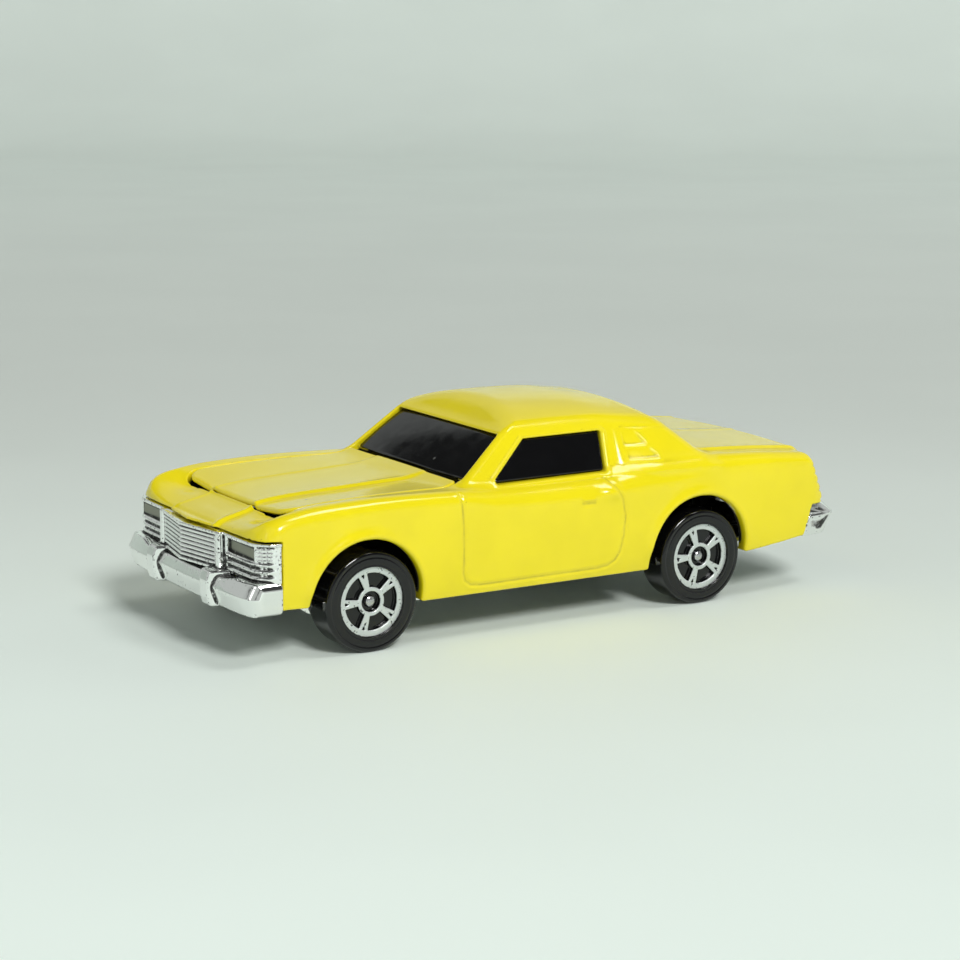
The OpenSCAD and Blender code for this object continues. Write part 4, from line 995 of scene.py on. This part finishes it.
def mesh_piece(scene, step, name, fields, low, high, mask=None, coarse=0.02):
    """The mesh of one piece in a block of space, with the mask that its fields give."""
    lattice = Lattice(low, high, fineness(scene.toycar_sizes, step))
    made = fields(lattice.x, lattice.y, lattice.z)
    if mask is None:
        return lattice.mesh(name, made, None, coarse)
    return lattice.mesh(name, made[0], {mask: made[1]}, coarse)


class TOYCAR_OT_casting(bpy.types.Operator):
    """Builds the painted casting"""

    bl_idname = "toycar.casting"
    bl_label = "Casting"

    def execute(self, context):
        scene = context.scene
        obj = mesh_piece(scene, "casting_step", "body_casting", body_fields,
                         (-36.6, 0, 3.8), (37.0, 15.8, 23.2), "depth")
        paint = named_material("enamel", enamel, scene.toycar_colours)
        dress(obj, "car", "paint", paint, "body_shell")
        return {"FINISHED"}


class TOYCAR_OT_bonnet(bpy.types.Operator):
    """Builds the opening bonnet"""

    bl_idname = "toycar.bonnet"
    bl_label = "Bonnet"

    def execute(self, context):
        scene = context.scene
        obj = mesh_piece(scene, "casting_step", "bonnet_panel", bonnet_field,
                         (10.9, 0, 12.6), (31.9, 13.2, 16.6))
        paint = named_material("enamel", enamel, scene.toycar_colours)
        dress(obj, "bonnet", "paint", paint, "bonnet")
        return {"FINISHED"}


class TOYCAR_OT_glazing(bpy.types.Operator):
    """Builds the black window moulding"""

    bl_idname = "toycar.glazing"
    bl_label = "Glazing"

    def execute(self, context):
        scene = context.scene
        obj = mesh_piece(scene, "base_step", "window_moulding", glazing_field,
                         (-20.8, 0, 8.8), (13.2, 13.4, 22.4))
        glass = gloss_black("window_plastic", scene.toycar_colours.glazing, 0.008).material
        dress(obj, "car", "window_plastic", glass, "glazing")
        return {"FINISHED"}


class TOYCAR_OT_plated_trim(bpy.types.Operator):
    """Builds the plated base with the front and rear bumpers"""

    bl_idname = "toycar.plated_trim"
    bl_label = "Plated base and bumpers"

    def execute(self, context):
        scene = context.scene
        metal = named_material("bright_plating", plating, scene.toycar_colours)
        front = mesh_piece(scene, "trim_step", "plated_front", front_fields,
                           (33.0, 0, 4.9), (38.3, 15.5, 12.8), "lens", 0.01)
        dress(front, "car", "plating", metal)
        tail = mesh_piece(scene, "trim_step", "plated_tail", tail_field,
                          (-38.3, 0, 5.4), (-31.6, 15.2, 9.8), None, 0.01)
        dress(tail, "car", "plating", metal)
        base = mesh_piece(scene, "base_step", "plated_base", base_field,
                          (-34.4, 0, 3.8), (35.4, 13.0, 9.9))
        dress(base, "car", "plating", metal, "chassis")
        return {"FINISHED"}


class TOYCAR_OT_wheels(bpy.types.Operator):
    """Builds the four wheels"""

    bl_idname = "toycar.wheels"
    bl_label = "Wheels"

    def execute(self, context):
        scene = context.scene
        step = fineness(scene.toycar_sizes, "trim_step")
        lattice = Lattice((-5.4, -4.4, -5.4), (5.4, 0.2, 5.4), step, False)
        wheel, foil = wheel_fields(lattice.x, lattice.y, lattice.z)
        first = lattice.mesh("wheel", wheel, {"foil": foil}, 0.01)
        plastic = wheel_finish(scene.toycar_colours)
        for end in ("front", "rear"):
            for side, turn in (("left", 0.0), ("right", math.pi)):
                node = f"wheel_{end}_{side}"
                low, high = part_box(node)
                obj = bpy.data.objects.new(f"{node}_dressed", first.data.copy())
                scene.collection.objects.link(obj)
                face = high.y if side == "left" else low.y
                place = Vector(((low.x + high.x) / 2, face, (low.z + high.z) / 2))
                obj.data.transform(Matrix.Translation(place) @ Matrix.Rotation(turn, 4, "Z"))
                dress(obj, f"{end}_wheelset", "wheel_plastic", plastic, node)
        bpy.data.objects.remove(first)
        return {"FINISHED"}


class TOYCAR_OT_axles(bpy.types.Operator):
    """Gives the axles their steel"""

    bl_idname = "toycar.axles"
    bl_label = "Axles"

    def execute(self, context):
        steel = axle_steel(context.scene.toycar_colours)
        for node in ("front_axle", "rear_axle"):
            obj = frame["nodes"][node]
            obj.data.materials.clear()
            obj.data.materials.append(steel)
        return {"FINISHED"}


class TOYCAR_OT_stage(bpy.types.Operator):
    """Builds the floor, the backdrop, the light and the camera"""

    bl_idname = "toycar.stage"
    bl_label = "Stage"

    def execute(self, context):
        scene = context.scene
        scene.view_settings.view_transform = "Standard"
        self.sweep(scene)
        self.world(scene)
        for light in SOFTBOXES:
            self.softbox(scene, *light)
        self.camera(scene)
        return {"FINISHED"}

    def sweep(self, scene):
        """One sheet that runs along the floor and curves up behind the car."""
        reach = scene.toycar_sizes.floor_reach
        profile = [(-1.6, 0.0), (-0.4, 0.0), (0.2, 0.0), (reach, 0.0)]
        profile += [(reach + SWEEP_BEND * math.sin(a), SWEEP_BEND * (1 - math.cos(a)))
                    for a in np.linspace(0.1, math.pi / 2, 14)]
        profile.append((reach + SWEEP_BEND, SWEEP_TOP))
        away = Vector(AWAY)
        across = Vector((-away.y, away.x, 0.0))
        points = [tuple(away * d + across * w + Vector((0, 0, h)))
                  for d, h in profile for w in (-SWEEP_HALF, SWEEP_HALF)]
        faces = [(2 * i, 2 * i + 1, 2 * i + 3, 2 * i + 2) for i in range(len(profile) - 1)]
        mesh = bpy.data.meshes.new("studio_sweep")
        mesh.from_pydata(points, [], faces)
        mesh.polygons.foreach_set("use_smooth", np.ones(len(faces), bool))
        obj = bpy.data.objects.new("studio_sweep", mesh)
        scene.collection.objects.link(obj)
        obj.data.materials.append(self.paper(scene.toycar_colours))

    def paper(self, colours):
        """Matt paper that changes tone with its distance behind the car, a painted fall of light: brightest
        near the camera, darker at the bend and lighter again up the backdrop.
        """
        finish = Finish("studio_paper")
        depth = finish.along(finish.place, AWAY)
        tone = finish.blend(finish.ramp(depth, -0.13, 0.15), colour(colours.floor), colour(colours.horizon))
        tone = finish.blend(finish.ramp(depth, 0.15, 0.7), tone, colour(colours.backdrop))
        mottle = finish.ramp(finish.noise(60.0, 2.0), 0.3, 0.7, 0.0, 0.06)
        tone = finish.blend(mottle, tone, MOTTLE_COLOUR)
        finish.set(Base_Color=tone, Roughness=0.6, Specular_IOR_Level=0.15)
        return finish.material

    def world(self, scene):
        """A dim room with a pale wall behind the car, a dark opening in that, and a pale patch ahead."""
        world = bpy.data.worlds.new("studio_room")
        scene.world = world
        world.use_nodes = True
        room = Nodes(world.node_tree)
        way = room.add("ShaderNodeTexCoord").outputs["Generated"]
        height = room.along(way, (0.0, 0.0, 1.0))
        behind = room.ramp(room.along(way, AWAY), -0.15, 0.15)
        low = room.ramp(height, 0.2, 0.26, 1.0, 0.0)
        wall = room.times(behind, room.ramp(height, 0.72, 0.78, 1.0, 0.0))
        sides = []
        for axis in OPENING_AXES:
            sides.append(room.math("POWER", room.math("DIVIDE", room.along(way, axis), OPENING_HALF), 4.0))
        opening = room.ramp(room.math("ADD", *sides), 0.9, 1.1)
        ahead = room.ramp(room.along(way, PATCH_AXIS), 0.72, 0.86)
        pale = room.most(room.times(room.most(low, wall), opening), ahead)
        ground = room.tree.nodes["Background"]
        ground.inputs["Color"].default_value = ROOM_COLOUR
        room.put(ground.inputs["Strength"], room.ramp(pale, 0.0, 1.0, 0.05, 0.5))

    def softbox(self, scene, name, place, size, power):
        """A square light that faces the car."""
        light = bpy.data.lights.new(name, "AREA")
        light.shape = "SQUARE"
        light.size = size
        light.energy = power
        obj = bpy.data.objects.new(name, light)
        scene.collection.objects.link(obj)
        obj.location = place
        aim = Vector(LIGHT_AIM) - Vector(place)
        obj.rotation_euler = aim.to_track_quat("-Z", "Y").to_euler()

    def camera(self, scene):
        """The photograph's viewpoint."""
        data = bpy.data.cameras.new("camera")
        data.sensor_width = 36.0
        data.lens = CAMERA_LENS
        data.clip_start = 0.01
        obj = bpy.data.objects.new("camera", data)
        scene.collection.objects.link(obj)
        right = Vector(CAMERA_RIGHT)
        up = Vector(CAMERA_UP)
        turn = Matrix((right, up, right.cross(up))).transposed()
        obj.matrix_world = Matrix.Translation(CAMERA_PLACE) @ turn.to_4x4()
        scene.camera = obj


OPERATORS = (TOYCAR_OT_casting, TOYCAR_OT_bonnet, TOYCAR_OT_glazing, TOYCAR_OT_plated_trim, TOYCAR_OT_wheels,
             TOYCAR_OT_axles, TOYCAR_OT_stage)


class TOYCAR_PT_sidebar(bpy.types.Panel):
    """Lists the car's sizes, colours and pieces"""

    bl_idname = "TOYCAR_PT_sidebar"
    bl_label = "Toy car"
    bl_space_type = "VIEW_3D"
    bl_region_type = "UI"
    bl_category = "Toy car"

    def draw(self, context):
        for group in (context.scene.toycar_sizes, context.scene.toycar_colours):
            for key in group.__annotations__:
                self.layout.prop(group, key)
        for operator in OPERATORS:
            self.layout.operator(operator.bl_idname)


CLASSES = (ToyCarSizes, ToyCarColours, *OPERATORS, TOYCAR_PT_sidebar)


def register():
    """Registers the classes and gives the scene their properties."""
    for cls in CLASSES:
        bpy.utils.register_class(cls)
    bpy.types.Scene.toycar_sizes = bpy.props.PointerProperty(type=ToyCarSizes)
    bpy.types.Scene.toycar_colours = bpy.props.PointerProperty(type=ToyCarColours)


def unregister():
    """Takes the properties and the classes away again."""
    del bpy.types.Scene.toycar_colours
    del bpy.types.Scene.toycar_sizes
    for cls in reversed(CLASSES):
        bpy.utils.unregister_class(cls)


def main():
    """Builds every piece in order."""
    register()
    bpy.ops.toycar.casting()
    bpy.ops.toycar.bonnet()
    bpy.ops.toycar.glazing()
    bpy.ops.toycar.plated_trim()
    bpy.ops.toycar.wheels()
    bpy.ops.toycar.axles()
    bpy.ops.toycar.stage()


if __name__ == "__main__":
    main()
